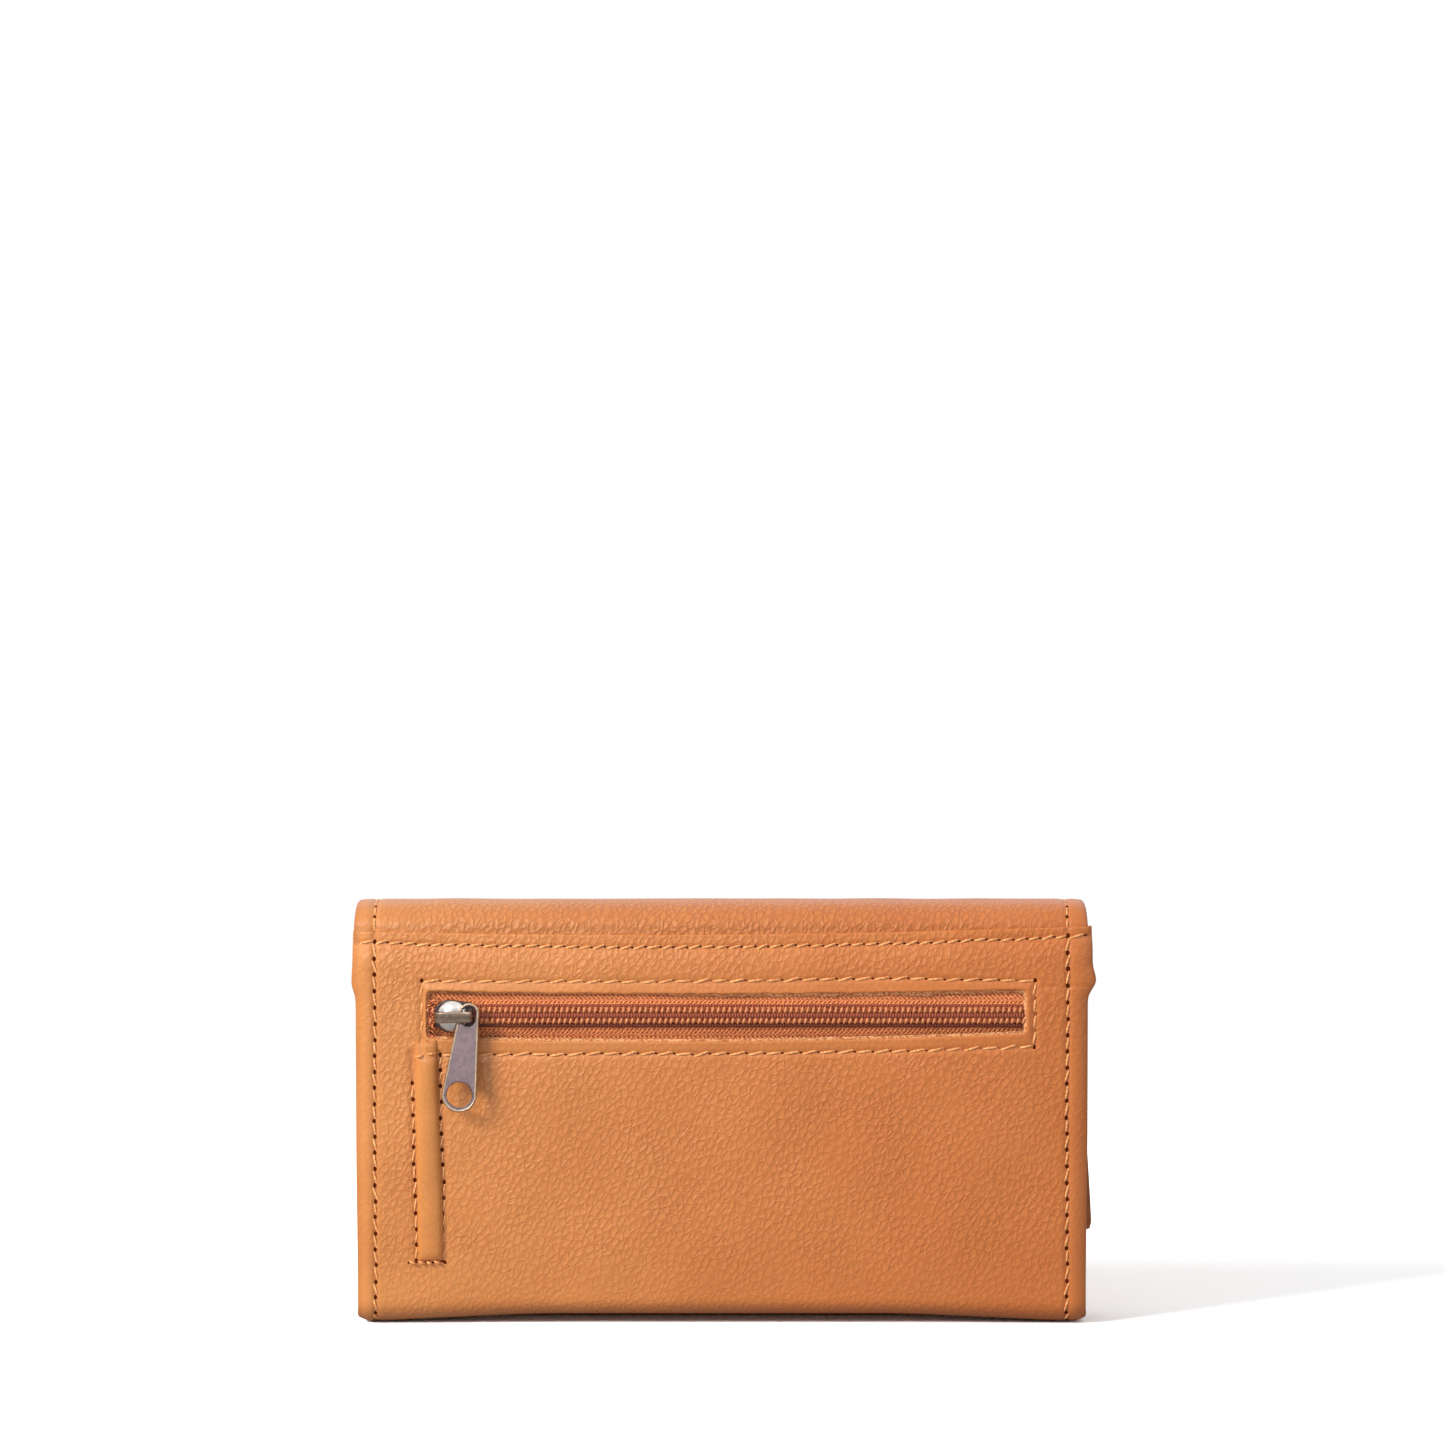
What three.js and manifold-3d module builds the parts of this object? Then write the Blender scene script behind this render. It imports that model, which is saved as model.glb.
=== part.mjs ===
// A long flap wallet in pebbled leather, standing on its bottom edge.
// Millimetres, +Z up, back of the wallet (with the zipped coin pocket) towards -Y, flap and snap towards +Y.
// The origin is the middle of the bounding box at the height of the surface that the wallet stands on.
import * as THREE from "three";
import { mergeVertices } from "three/addons/utils/BufferGeometryUtils.js";
import Module from "manifold-3d";

const wasm = await Module();
wasm.setup();

// Overall sizes
const BODY_HALF = 94.8; // half the width of the body at mid height
const SHOULDER_HALF = 96.4; // half the width where the flap joins the back
const SHOULDER = { low: 84, high: 91 }; // heights between which the body swells to its shoulder
const BACK_TOP = 102; // top edge of the back panel
const FRONT_TOP = 92; // top edge of the front panel
const FLAP_TOP = 109.4; // highest point of the flap's roll
const FLAP_END = 22.4; // lower edge of the closed flap
const FLAP_FOOT = 93.5; // lower edge of the flap's leather behind the back panel
const FLAP_HALF = 94.8; // half the width of the flap at its roll
const FLAP_END_HALF = 95.2; // half the width of the flap at its lower edge
const FLAP_SKEW = 0.8; // how far the lower edge stands over to the right
const INSIDE_FLOOR = 9.4; // lowest point of the pieces inside

// Thicknesses
const LEATHER = 1.2;
const LINING = 0.6;
const CARD_LEATHER = 0.6;
const POCKET_CLOTH = 0.3;
const TAPE = 0.5;
const GAP = 0.2; // air between two layers that touch

// Where each layer starts on Y, from the back of the wallet to its front
const Y_BACK = -12.0;
const Y_TAPE = Y_BACK + LEATHER + GAP;
const Y_COIN_FRONT = Y_TAPE + TAPE + GAP;
const COIN_DEPTH = 1.2;
const Y_COIN_BACK = Y_COIN_FRONT + POCKET_CLOTH + COIN_DEPTH;
const BOARD = 0.6;
const Y_BOARD = Y_COIN_BACK + POCKET_CLOTH + GAP;
const Y_REAR_LINING = Y_BOARD + BOARD + GAP;
const Y_CARDS = Y_REAR_LINING + CARD_LEATHER + GAP;
const CARD_SLOTS = 4;
const Y_REAR_SPACE = Y_CARDS + CARD_SLOTS * (CARD_LEATHER + GAP) - GAP;
const COMPARTMENT = 4.4;
const DIVIDER = 1.0;
const Y_DIVIDER = Y_REAR_SPACE + COMPARTMENT;
const Y_SLIP = Y_DIVIDER + DIVIDER + COMPARTMENT;
const Y_FRONT_LINING = Y_SLIP + LINING + GAP;
const WASHER = 0.3;
const Y_SOCKET_WASHER = Y_FRONT_LINING + LINING + GAP;
const Y_FRONT = Y_SOCKET_WASHER + WASHER + GAP;
const SOCKET = 1.5;
const Y_SOCKET = Y_FRONT + LEATHER + GAP;
const STUD_FLANGE = 0.6;
const Y_STUD = Y_SOCKET + SOCKET + GAP;
const Y_FLAP_LINING = Y_STUD + STUD_FLANGE + GAP;
const Y_STUD_WASHER = Y_FLAP_LINING + LINING + GAP;
const Y_FLAP = Y_STUD_WASHER + WASHER + GAP;

// Zip: a horizontal coil zip behind a window in the back panel
const ZIP = { x0: -76.6, x1: 78.8, z: 80.6, window: 12.6, corner: 1.4 };
const TAPE_SIZE = { reach: 11.2, pastEnd: 8.5 }; // from the middle of the zip, and past each end of the window
const COIL = { pitch: 1.48, inner: 0.6, outer: 2.9, tooth: 0.45, thick: 1.0, endGap: 0.5 };
const SLIDER = { x: -69.3, length: 10.4, width: 8.6, plate: 1.0, under: 0.7, web: 0.6 };
const BRIDGE = { length: 10, height: 2.9, thick: 0.9, gap: 1.8 };
const Y_PLATE = Y_BACK - GAP - SLIDER.plate;
const Y_BRIDGE = Y_PLATE - BRIDGE.gap - BRIDGE.thick;
const PULL = { x: -65.3, eye: 2.9, eyeHole: 2.2, end: 4.5, endHole: 3.3, length: 20.4, thick: 1.2 };
const PULL_LEAN = THREE.MathUtils.degToRad(6.7); // the pull hangs a little aslant

// Raised strip: a rounded roll of leather below the slider end of the zip
const STRIP = { x: -76.2, bottom: 16.8, lowHalf: 3.6, topHalf: 2.8, crownHalf: 4.0, rise: 1.2 };

// Flap roll: the leather's middle line runs up the back, round two bends and down the front
const ROLL = 8; // radius of each bend at the middle of the leather
const Y_ANCHOR = Y_BACK + LEATHER + GAP + LEATHER / 2; // middle of the leather behind the back panel
const Y_HANG = Y_FLAP + LEATHER / 2; // middle of the leather where it hangs in front
const ROLL_Z = FLAP_TOP - LEATHER / 2 - ROLL;
const HINGE_GAP = THREE.MathUtils.degToRad(6.5); // bend left out on each side of a fold

// Moves the wallet so that its bounding box is centred on Y
const CENTRE_SHIFT = -(Y_BRIDGE + Y_FLAP + LEATHER) / 2;

// Base: the leather turns under the wallet with a bend at the back and one at the front
const BASE_BEND = 5;
const BASE_LIFT = 2.8; // how far the middle of the base arches clear of the surface
const FOOT = 10.6; // length of the flat at each end of the base
const RAMP = 26; // length over which the base rises from a foot to its arch

const material = (color, roughness, metalness = 0) =>
  new THREE.MeshStandardMaterial({ color, roughness, metalness });
const LOOKS = {
  leather: material(0xc9814a, 0.55),
  lining: material(0xb5744a, 0.8),
  board: material(0x8a6a4c, 0.9),
  tape: material(0xa55d3a, 0.9),
  coil: material(0x9a5232, 0.45),
  metal: material(0x9b8f88, 0.35, 1),
  magnet: material(0x3b3a3c, 0.5, 1),
};

const wallet = new THREE.Group();
wallet.position.y = CENTRE_SHIFT;

function add(name, geometry, look) {
  const mesh = new THREE.Mesh(geometry, look);
  mesh.name = name;
  wallet.add(mesh);
  return mesh;
}

// --- shapes ---------------------------------------------------------------------------------

// A rectangle in X and Z with its corners rounded
function rectangle(x0, z0, x1, z1, radius = 0) {
  const shape = new THREE.Shape();
  shape.moveTo(x0 + radius, z0);
  shape.lineTo(x1 - radius, z0);
  if (radius) shape.absarc(x1 - radius, z0 + radius, radius, -Math.PI / 2, 0);
  shape.lineTo(x1, z1 - radius);
  if (radius) shape.absarc(x1 - radius, z1 - radius, radius, 0, Math.PI / 2);
  shape.lineTo(x0 + radius, z1);
  if (radius) shape.absarc(x0 + radius, z1 - radius, radius, Math.PI / 2, Math.PI);
  shape.lineTo(x0, z0 + radius);
  if (radius) shape.absarc(x0 + radius, z0 + radius, radius, Math.PI, 1.5 * Math.PI);
  return shape;
}

// A flat sheet whose outline is drawn in X and Z, from y to y + thick
function sheet(shape, y, thick, curveSegments = 6) {
  return new THREE.ExtrudeGeometry(shape, { depth: thick, bevelEnabled: false, curveSegments })
    .rotateX(Math.PI / 2)
    .translate(0, y + thick, 0);
}

// A bar whose section is drawn in Y and Z, from x0 to x1
function bar(shape, x0, x1, steps = 1) {
  return new THREE.ExtrudeGeometry(shape, { depth: x1 - x0, bevelEnabled: false, steps })
    .rotateY(Math.PI / 2)
    .rotateX(Math.PI / 2)
    .translate(x0, 0, 0);
}

// A post whose plan is drawn in X and Y, from z0 to z1
function post(shape, z0, z1) {
  return new THREE.ExtrudeGeometry(shape, { depth: z1 - z0, bevelEnabled: false }).translate(0, 0, z0);
}

// The points of an arc in the Y-Z plane
function arc(y, z, radius, from, to, steps = 6) {
  return Array.from({ length: steps + 1 }, (_, i) => {
    const angle = from + ((to - from) * i) / steps;
    return new THREE.Vector2(y + radius * Math.cos(angle), z + radius * Math.sin(angle));
  });
}

// The outline of a band that follows a middle line, reaching `right` to one side of it and `left` to the other
function band(line, right, left = right) {
  const normals = line.map((p, i) => {
    const before = line[Math.max(i - 1, 0)];
    const after = line[Math.min(i + 1, line.length - 1)];
    const along = after.clone().sub(before).normalize();
    return new THREE.Vector2(along.y, -along.x);
  });
  const offset = (side) => line.map((p, i) => p.clone().addScaledVector(normals[i], side));
  return new THREE.Shape([...offset(right), ...offset(-left).reverse()]);
}

// --- booleans -------------------------------------------------------------------------------

function toSolid(geometry) {
  const bare = geometry.index ? geometry.toNonIndexed() : geometry.clone();
  bare.deleteAttribute("normal");
  bare.deleteAttribute("uv");
  const merged = mergeVertices(bare, 1e-4);
  return new wasm.Manifold(
    new wasm.Mesh({
      numProp: 3,
      vertProperties: merged.attributes.position.array,
      triVerts: new Uint32Array(merged.index.array),
    }),
  );
}

function toGeometry(solid) {
  const mesh = solid.getMesh();
  return new THREE.BufferGeometry()
    .setAttribute("position", new THREE.BufferAttribute(mesh.vertProperties, 3))
    .setIndex(new THREE.BufferAttribute(mesh.triVerts, 1));
}

const common = (a, b) => toGeometry(toSolid(a).intersect(toSolid(b)));
const join = (first, ...rest) =>
  toGeometry(rest.reduce((solid, g) => solid.add(toSolid(g)), toSolid(first)));

// --- outer leather --------------------------------------------------------------------------

// Half the body's width at height z: it swells at the shoulder, then runs nearly straight down
function bodyHalf(z) {
  const shoulder = THREE.MathUtils.smoothstep(z, SHOULDER.low, SHOULDER.high);
  return BODY_HALF + (SHOULDER_HALF - BODY_HALF) * shoulder;
}

function bodyOutline(z0, z1, steps = 14) {
  const side = Array.from({ length: steps + 1 }, (_, i) => z0 + ((z1 - z0) * i) / steps);
  const right = side.map((z) => new THREE.Vector2(bodyHalf(z), z));
  const left = side.map((z) => new THREE.Vector2(-bodyHalf(z), z)).reverse();
  return new THREE.Shape([...right, ...left]);
}

function backPanel() {
  const window = rectangle(
    ZIP.x0,
    ZIP.z - ZIP.window / 2,
    ZIP.x1,
    ZIP.z + ZIP.window / 2,
    ZIP.corner,
  );
  const outline = bodyOutline(INSIDE_FLOOR, BACK_TOP);
  outline.holes.push(window);
  add("back_panel", sheet(outline, Y_BACK, LEATHER), LOOKS.leather);
}

// The strip is narrower at its top, where it goes in under the edge of the zip window
function raisedStrip() {
  const { x, bottom, lowHalf, topHalf, rise } = STRIP;
  const top = ZIP.z - ZIP.window / 2 - 0.8;
  const outline = new THREE.Shape([
    new THREE.Vector2(x - lowHalf, bottom),
    new THREE.Vector2(x + lowHalf, bottom),
    new THREE.Vector2(x - 0.6 + topHalf, top),
    new THREE.Vector2(x - 0.6 - topHalf, top),
  ]);
  const foot = Y_BACK - GAP;
  const crown = new THREE.Shape();
  crown.moveTo(x - STRIP.crownHalf, foot);
  crown.absellipse(x, foot, STRIP.crownHalf, rise, Math.PI, 2 * Math.PI, false);
  add(
    "raised_strip",
    common(post(crown, bottom - 1, top + 1), sheet(outline, foot - rise - 1, rise + 1.5)),
    LOOKS.leather,
  );
}

// How far the base is lifted at x: flat at both feet, arched between them
function baseLift(x) {
  const inner = BODY_HALF - FOOT;
  return BASE_LIFT * (1 - THREE.MathUtils.smoothstep(Math.abs(x), inner - RAMP, inner));
}

// The line of the base's leather in the Y-Z plane, from the back panel to the front fold
function baseLine() {
  const yBack = Y_BACK + LEATHER / 2;
  const yFront = Y_FRONT + LEATHER / 2;
  const z = BASE_BEND + LEATHER / 2;
  return {
    rear: [
      new THREE.Vector2(yBack, INSIDE_FLOOR - GAP),
      ...arc(yBack + BASE_BEND, z, BASE_BEND, Math.PI, 1.5 * Math.PI),
      ...arc(yFront - BASE_BEND, z, BASE_BEND, -Math.PI / 2, -Math.PI / 4 - 0.05, 4),
    ],
    front: [
      ...arc(yFront - BASE_BEND, z, BASE_BEND, -Math.PI / 4 + 0.05, 0, 4),
      new THREE.Vector2(yFront, FRONT_TOP),
    ],
  };
}

// Lifts the low part of a bar along the arch of the base
function arched(geometry) {
  const at = geometry.attributes.position;
  const reach = INSIDE_FLOOR - GAP;
  for (let i = 0; i < at.count; i++) {
    const share = THREE.MathUtils.clamp(1 - at.getZ(i) / reach, 0, 1);
    at.setZ(i, at.getZ(i) + baseLift(at.getX(i)) * share);
  }
  return geometry;
}

function base() {
  const steps = 28;
  const fold = bar(band(baseLine().rear, LEATHER / 2), -BODY_HALF, BODY_HALF, steps);
  add("base_fold", arched(fold), LOOKS.leather);
  const front = bar(band(baseLine().front, LEATHER / 2), -BODY_HALF, BODY_HALF, steps);
  add("front_panel", arched(front), LOOKS.leather);
}

// --- flap -----------------------------------------------------------------------------------

// Points of the roll from one angle to another: bends are swept from the back (180 degrees) to the front (0)
const backBend = (from, to) => arc(Y_ANCHOR + ROLL, ROLL_Z, ROLL, from, to);
const frontBend = (from, to) => arc(Y_HANG - ROLL, ROLL_Z, ROLL, from, to);
const MID_BACK = 0.75 * Math.PI;
const MID_FRONT = 0.25 * Math.PI;
const anchorLine = () => [
  new THREE.Vector2(Y_ANCHOR, FLAP_FOOT),
  ...backBend(Math.PI, MID_BACK + HINGE_GAP),
];
const spineLine = () => [
  ...backBend(MID_BACK - HINGE_GAP, Math.PI / 2),
  ...frontBend(Math.PI / 2, MID_FRONT + HINGE_GAP),
];
const hangLine = () => [
  ...frontBend(MID_FRONT - HINGE_GAP, 0),
  new THREE.Vector2(Y_HANG, FLAP_END),
];

// The flap's face: it runs down from the roll a little askew and has rounded lower corners
function flapFace(inset) {
  const corner = 3;
  const low = FLAP_END + inset;
  const side = FLAP_HALF - inset;
  const [left, right] = [-1, 1].map((s) => s * (FLAP_END_HALF - inset) + FLAP_SKEW);
  const shape = new THREE.Shape();
  shape.moveTo(left + corner, low);
  shape.lineTo(right - corner, low);
  shape.quadraticCurveTo(right, low, right, low + corner);
  shape.lineTo(side, ROLL_Z);
  shape.lineTo(side, FLAP_TOP + 1);
  shape.lineTo(-side, FLAP_TOP + 1);
  shape.lineTo(-side, ROLL_Z);
  shape.lineTo(left, low + corner);
  shape.quadraticCurveTo(left, low, left + corner, low);
  return shape;
}

function flap() {
  const half = LEATHER / 2;
  const side = FLAP_END_HALF + 1;
  add("flap_anchor", bar(band(anchorLine(), half), -FLAP_HALF, FLAP_HALF), LOOKS.leather);
  add("flap_spine", bar(band(spineLine(), half), -FLAP_HALF, FLAP_HALF), LOOKS.leather);
  const hang = bar(band(hangLine(), half), -side, side);
  add("flap_front", common(hang, sheet(flapFace(0), Y_BACK, 40)), LOOKS.leather);

  // The lining lies inside the leather: next to it at the roll, behind the washer on the face
  const inner = half + GAP;
  const spineBand = band(spineLine(), inner + LINING, -inner);
  const liningHalf = FLAP_HALF - 1;
  add("flap_spine_lining", bar(spineBand, -liningHalf, liningHalf), LOOKS.lining);
  const face = flapFace(1.2);
  const below = rectangle(-side, FLAP_END, side, ROLL_Z);
  const lining = common(sheet(face, Y_FLAP_LINING, LINING), sheet(below, Y_BACK, 40));
  add("flap_front_lining", lining, LOOKS.lining);
}

// --- zip ------------------------------------------------------------------------------------

// One row of the coil: a bar with a tooth at every pitch on the side where the two rows meet
function coilRow(side) {
  const x0 = ZIP.x0 + COIL.endGap;
  const count = Math.floor((ZIP.x1 - COIL.endGap - x0) / COIL.pitch);
  const x1 = x0 + count * COIL.pitch;
  const z = (offset) => ZIP.z + side * offset;
  const points = [new THREE.Vector2(x1, z(COIL.outer)), new THREE.Vector2(x0, z(COIL.outer))];
  for (let i = 0; i < count; i++) {
    const x = x0 + i * COIL.pitch;
    points.push(new THREE.Vector2(x, z(COIL.inner + COIL.tooth)));
    points.push(new THREE.Vector2(x + COIL.pitch / 2, z(COIL.inner)));
  }
  points.push(new THREE.Vector2(x1, z(COIL.inner + COIL.tooth)));
  return sheet(new THREE.Shape(points), Y_TAPE - GAP - COIL.thick, COIL.thick);
}

function tapeHalf(side) {
  const near = ZIP.z + side * COIL.inner;
  const far = ZIP.z + side * TAPE_SIZE.reach;
  const [z0, z1] = [Math.min(near, far), Math.max(near, far)];
  const [x0, x1] = [ZIP.x0 - TAPE_SIZE.pastEnd, ZIP.x1 + TAPE_SIZE.pastEnd];
  return sheet(rectangle(x0, z0, x1, z1), Y_TAPE, TAPE);
}

// Blunt heart outline of a slider plate, its nose towards -X
function sliderPlate(y, thick, trim = 0) {
  const half = SLIDER.width / 2 - trim;
  const nose = SLIDER.x - SLIDER.length / 2;
  const tail = SLIDER.x + SLIDER.length / 2;
  const shape = new THREE.Shape();
  shape.moveTo(nose + half, ZIP.z - half);
  shape.lineTo(tail - 1, ZIP.z - half * 0.86);
  shape.quadraticCurveTo(tail, ZIP.z - half * 0.84, tail, ZIP.z - half * 0.6);
  shape.lineTo(tail, ZIP.z + half * 0.6);
  shape.quadraticCurveTo(tail, ZIP.z + half * 0.84, tail - 1, ZIP.z + half * 0.86);
  shape.lineTo(nose + half, ZIP.z + half);
  shape.absarc(nose + half, ZIP.z, half, Math.PI / 2, 1.5 * Math.PI);
  return sheet(shape, y, thick, 8);
}

// The bridge is a flat strap that stands over the slider's top plate on two legs
function sliderBridge() {
  const { length, height, thick } = BRIDGE;
  const foot = Y_PLATE + 0.3;
  const [left, right] = [SLIDER.x - length / 2, SLIDER.x + length / 2];
  const strap = new THREE.Shape();
  strap.moveTo(left, foot);
  strap.lineTo(left, Y_BRIDGE + thick);
  strap.quadraticCurveTo(left, Y_BRIDGE, left + 2 * thick, Y_BRIDGE);
  strap.lineTo(right - thick, Y_BRIDGE);
  strap.quadraticCurveTo(right, Y_BRIDGE, right, Y_BRIDGE + thick);
  strap.lineTo(right, foot);
  strap.lineTo(right - thick, foot);
  strap.lineTo(right - thick, Y_BRIDGE + thick);
  strap.lineTo(left + 1.5 * thick, Y_BRIDGE + thick);
  strap.lineTo(left + thick, foot);
  return post(strap, ZIP.z - height / 2, ZIP.z + height / 2);
}

// The slider has a plate each side of the zip, joined by a web that runs between the two rows
function slider() {
  const yUnder = Y_TAPE + TAPE + GAP;
  const nose = SLIDER.x - SLIDER.length / 2;
  const plan = rectangle(nose + 1, ZIP.z - SLIDER.web / 2, nose + 4, ZIP.z + SLIDER.web / 2);
  const web = sheet(plan, Y_PLATE + 0.5, yUnder - Y_PLATE);
  const top = sliderPlate(Y_PLATE, SLIDER.plate);
  const under = sliderPlate(yUnder, SLIDER.under, 0.6);
  add("zip_slider", join(top, web, under, sliderBridge()), LOOKS.metal);
}

// The pull is a flat tab with an eye round the bridge's leg and a wider end with a round hole
function pull() {
  const { eye, eyeHole, end, endHole, length, thick } = PULL;
  const taper = Math.asin((end - eye) / length);
  const shape = new THREE.Shape();
  shape.absarc(0, 0, eye, -taper, Math.PI + taper);
  shape.absarc(0, -length, end, Math.PI + taper, 2 * Math.PI - taper);
  const ring = (z, radius) => new THREE.Path().absarc(0, z, radius, 0, 2 * Math.PI);
  shape.holes.push(ring(0, eyeHole), ring(-length, endHole));
  const tab = add("zip_pull", sheet(shape, -thick / 2, thick, 12), LOOKS.metal);
  tab.position.set(PULL.x, Y_PLATE - BRIDGE.gap / 2, ZIP.z);
  tab.rotation.y = PULL_LEAN;
}

function zip() {
  add("zip_tape_upper", tapeHalf(1), LOOKS.tape);
  add("zip_tape_lower", tapeHalf(-1), LOOKS.tape);
  add("zip_coil_upper", coilRow(1), LOOKS.coil);
  add("zip_coil_lower", coilRow(-1), LOOKS.coil);
  slider();
  pull();
}

// --- inside ---------------------------------------------------------------------------------

function coinPocket() {
  const half = 87;
  const low = 24;
  const mouth = ZIP.z - TAPE_SIZE.reach - GAP;
  const top = ZIP.z + TAPE_SIZE.reach + GAP;
  const front = sheet(rectangle(-half, low, half, mouth, 3), Y_COIN_FRONT, POCKET_CLOTH);
  add("coin_lining_front", front, LOOKS.lining);
  const back = sheet(rectangle(-half, low, half, top, 3), Y_COIN_BACK, POCKET_CLOTH);
  add("coin_lining_back", back, LOOKS.lining);
}

function rearWall() {
  const half = 92;
  const board = rectangle(-half + 2, INSIDE_FLOOR + 1, half - 2, BACK_TOP - 4, 2);
  add("rear_board", sheet(board, Y_BOARD, BOARD), LOOKS.board);
  const lining = rectangle(-half, INSIDE_FLOOR, half, BACK_TOP - 1, 1.5);
  add("rear_lining", sheet(lining, Y_REAR_LINING, CARD_LEATHER), LOOKS.lining);
  const cardTop = 88;
  const step = 10.5;
  const leafHeight = 54.5;
  for (let i = 0; i < CARD_SLOTS; i++) {
    const top = cardTop - i * step;
    const leaf = rectangle(-half, Math.max(top - leafHeight, INSIDE_FLOOR), half, top, 1);
    const y = Y_CARDS + i * (CARD_LEATHER + GAP);
    add("card_slot_" + (i + 1), sheet(leaf, y, CARD_LEATHER), LOOKS.leather);
  }
}

// Gusset plan: a flange behind the panel, a side wall, and a leaf that folds in to the divider
const GUSSET = 0.8;
const FLANGE_X = 88.4; // inner edge of the flange sewn behind the panel
const WALL_X = 93.9; // outer face of the side wall
const APEX_X = 80.6; // how far in the fold reaches, where it meets the divider

function rearGusset(side) {
  const x = (value) => side * value;
  const line = [
    [FLANGE_X, Y_TAPE + GUSSET / 2],
    [WALL_X - GUSSET / 2, Y_TAPE + GUSSET / 2],
    [WALL_X - GUSSET / 2, Y_REAR_SPACE + GUSSET / 2 + GAP],
    [APEX_X, Y_DIVIDER - GAP],
  ].map(([px, py]) => new THREE.Vector2(x(px), py));
  return post(band(line, GUSSET / 2), INSIDE_FLOOR, FRONT_TOP - 1);
}

function frontGusset(side) {
  const x = (value) => side * value;
  const line = [
    [APEX_X, Y_DIVIDER + DIVIDER + GAP],
    [WALL_X - GUSSET / 2, Y_SLIP - GUSSET / 2 - GAP],
    [WALL_X - GUSSET / 2, Y_FRONT - GAP - GUSSET / 2],
    [FLANGE_X, Y_FRONT - GAP - GUSSET / 2],
  ].map(([px, py]) => new THREE.Vector2(x(px), py));
  return post(band(line, GUSSET / 2), INSIDE_FLOOR, FRONT_TOP - 1);
}

function gussets() {
  for (const [name, side] of [["left", -1], ["right", 1]]) {
    add("gusset_rear_" + name, rearGusset(side), LOOKS.leather);
    add("gusset_front_" + name, frontGusset(side), LOOKS.leather);
  }
}

function dividerPanel() {
  const leaf = rectangle(-APEX_X + 0.9, INSIDE_FLOOR, APEX_X - 0.9, 95, 1.5);
  add("divider_panel", sheet(leaf, Y_DIVIDER, DIVIDER), LOOKS.leather);
}

function frontWall() {
  const half = 87.6;
  const slip = rectangle(-half, INSIDE_FLOOR, half, 68, 1);
  add("slip_pocket", sheet(slip, Y_SLIP, LINING), LOOKS.leather);
  const lining = rectangle(-half, INSIDE_FLOOR, half, FRONT_TOP - 1, 1);
  add("front_lining", sheet(lining, Y_FRONT_LINING, LINING), LOOKS.lining);
}

// --- magnetic snap --------------------------------------------------------------------------

const SNAP = { z: 38, radius: 9, recess: 4.7, boss: 3.9, washer: 7.5 };

// A disc turned about the Y axis from its half section, which starts and ends on the axis
function turned(profile, y) {
  const points = profile.map(([r, h]) => new THREE.Vector2(r, h));
  return new THREE.LatheGeometry(points, 28).translate(0, y, SNAP.z);
}

function snap() {
  const { radius, recess, boss, washer } = SNAP;
  const floor = 0.3;
  const magnet = 0.45;
  const cup = [[0, 0], [radius, 0], [radius, SOCKET - 0.4], [radius - 0.5, SOCKET]];
  cup.push([recess, SOCKET], [recess, floor], [0, floor]);
  add("snap_socket", turned(cup, Y_SOCKET), LOOKS.metal);
  const disc = [[0, 0], [recess - GAP, 0], [recess - GAP, magnet], [0, magnet]];
  add("snap_magnet", turned(disc, Y_SOCKET + floor + 0.1), LOOKS.magnet);
  const reach = SOCKET + GAP - floor - magnet - 0.25;
  const stud = [[0, -reach], [boss - 0.3, -reach], [boss, -reach + 0.3], [boss, 0]];
  stud.push([radius - 0.4, 0], [radius, 0.3], [radius, STUD_FLANGE], [0, STUD_FLANGE]);
  add("snap_stud", turned(stud, Y_STUD), LOOKS.metal);
  const plate = [[0, 0], [washer, 0], [washer, WASHER], [0, WASHER]];
  add("snap_socket_washer", turned(plate, Y_SOCKET_WASHER), LOOKS.metal);
  add("snap_stud_washer", turned(plate, Y_STUD_WASHER), LOOKS.metal);
}

backPanel();
raisedStrip();
base();
flap();
zip();
coinPocket();
rearWall();
gussets();
dividerPanel();
frontWall();
snap();

export default wallet;
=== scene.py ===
"""Looks of a long flap wallet in pebbled leather, standing on its bottom edge, back to the camera.

Lengths are in millimetres in the row frame: X along the wallet, -Y its back, +Z up.
MM turns them into metres.
"""

import math

import bpy
import numpy as np
from mathutils import Matrix, Vector


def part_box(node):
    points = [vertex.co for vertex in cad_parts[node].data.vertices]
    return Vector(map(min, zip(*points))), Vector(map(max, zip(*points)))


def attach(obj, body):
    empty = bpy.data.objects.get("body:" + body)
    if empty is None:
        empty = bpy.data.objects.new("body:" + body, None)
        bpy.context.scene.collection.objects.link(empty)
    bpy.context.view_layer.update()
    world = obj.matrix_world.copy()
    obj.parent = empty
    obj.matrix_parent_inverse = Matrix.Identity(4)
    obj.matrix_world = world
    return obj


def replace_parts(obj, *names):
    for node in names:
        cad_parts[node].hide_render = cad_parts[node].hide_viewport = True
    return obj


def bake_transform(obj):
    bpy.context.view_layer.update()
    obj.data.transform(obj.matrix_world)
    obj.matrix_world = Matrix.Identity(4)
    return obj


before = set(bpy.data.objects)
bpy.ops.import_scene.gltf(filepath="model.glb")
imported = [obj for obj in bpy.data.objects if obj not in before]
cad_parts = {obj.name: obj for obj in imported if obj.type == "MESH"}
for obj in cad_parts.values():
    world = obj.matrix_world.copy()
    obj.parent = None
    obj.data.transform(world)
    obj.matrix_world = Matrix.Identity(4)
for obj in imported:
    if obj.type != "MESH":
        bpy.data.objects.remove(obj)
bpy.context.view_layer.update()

MM = 0.001

# ---- measures ----

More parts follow.
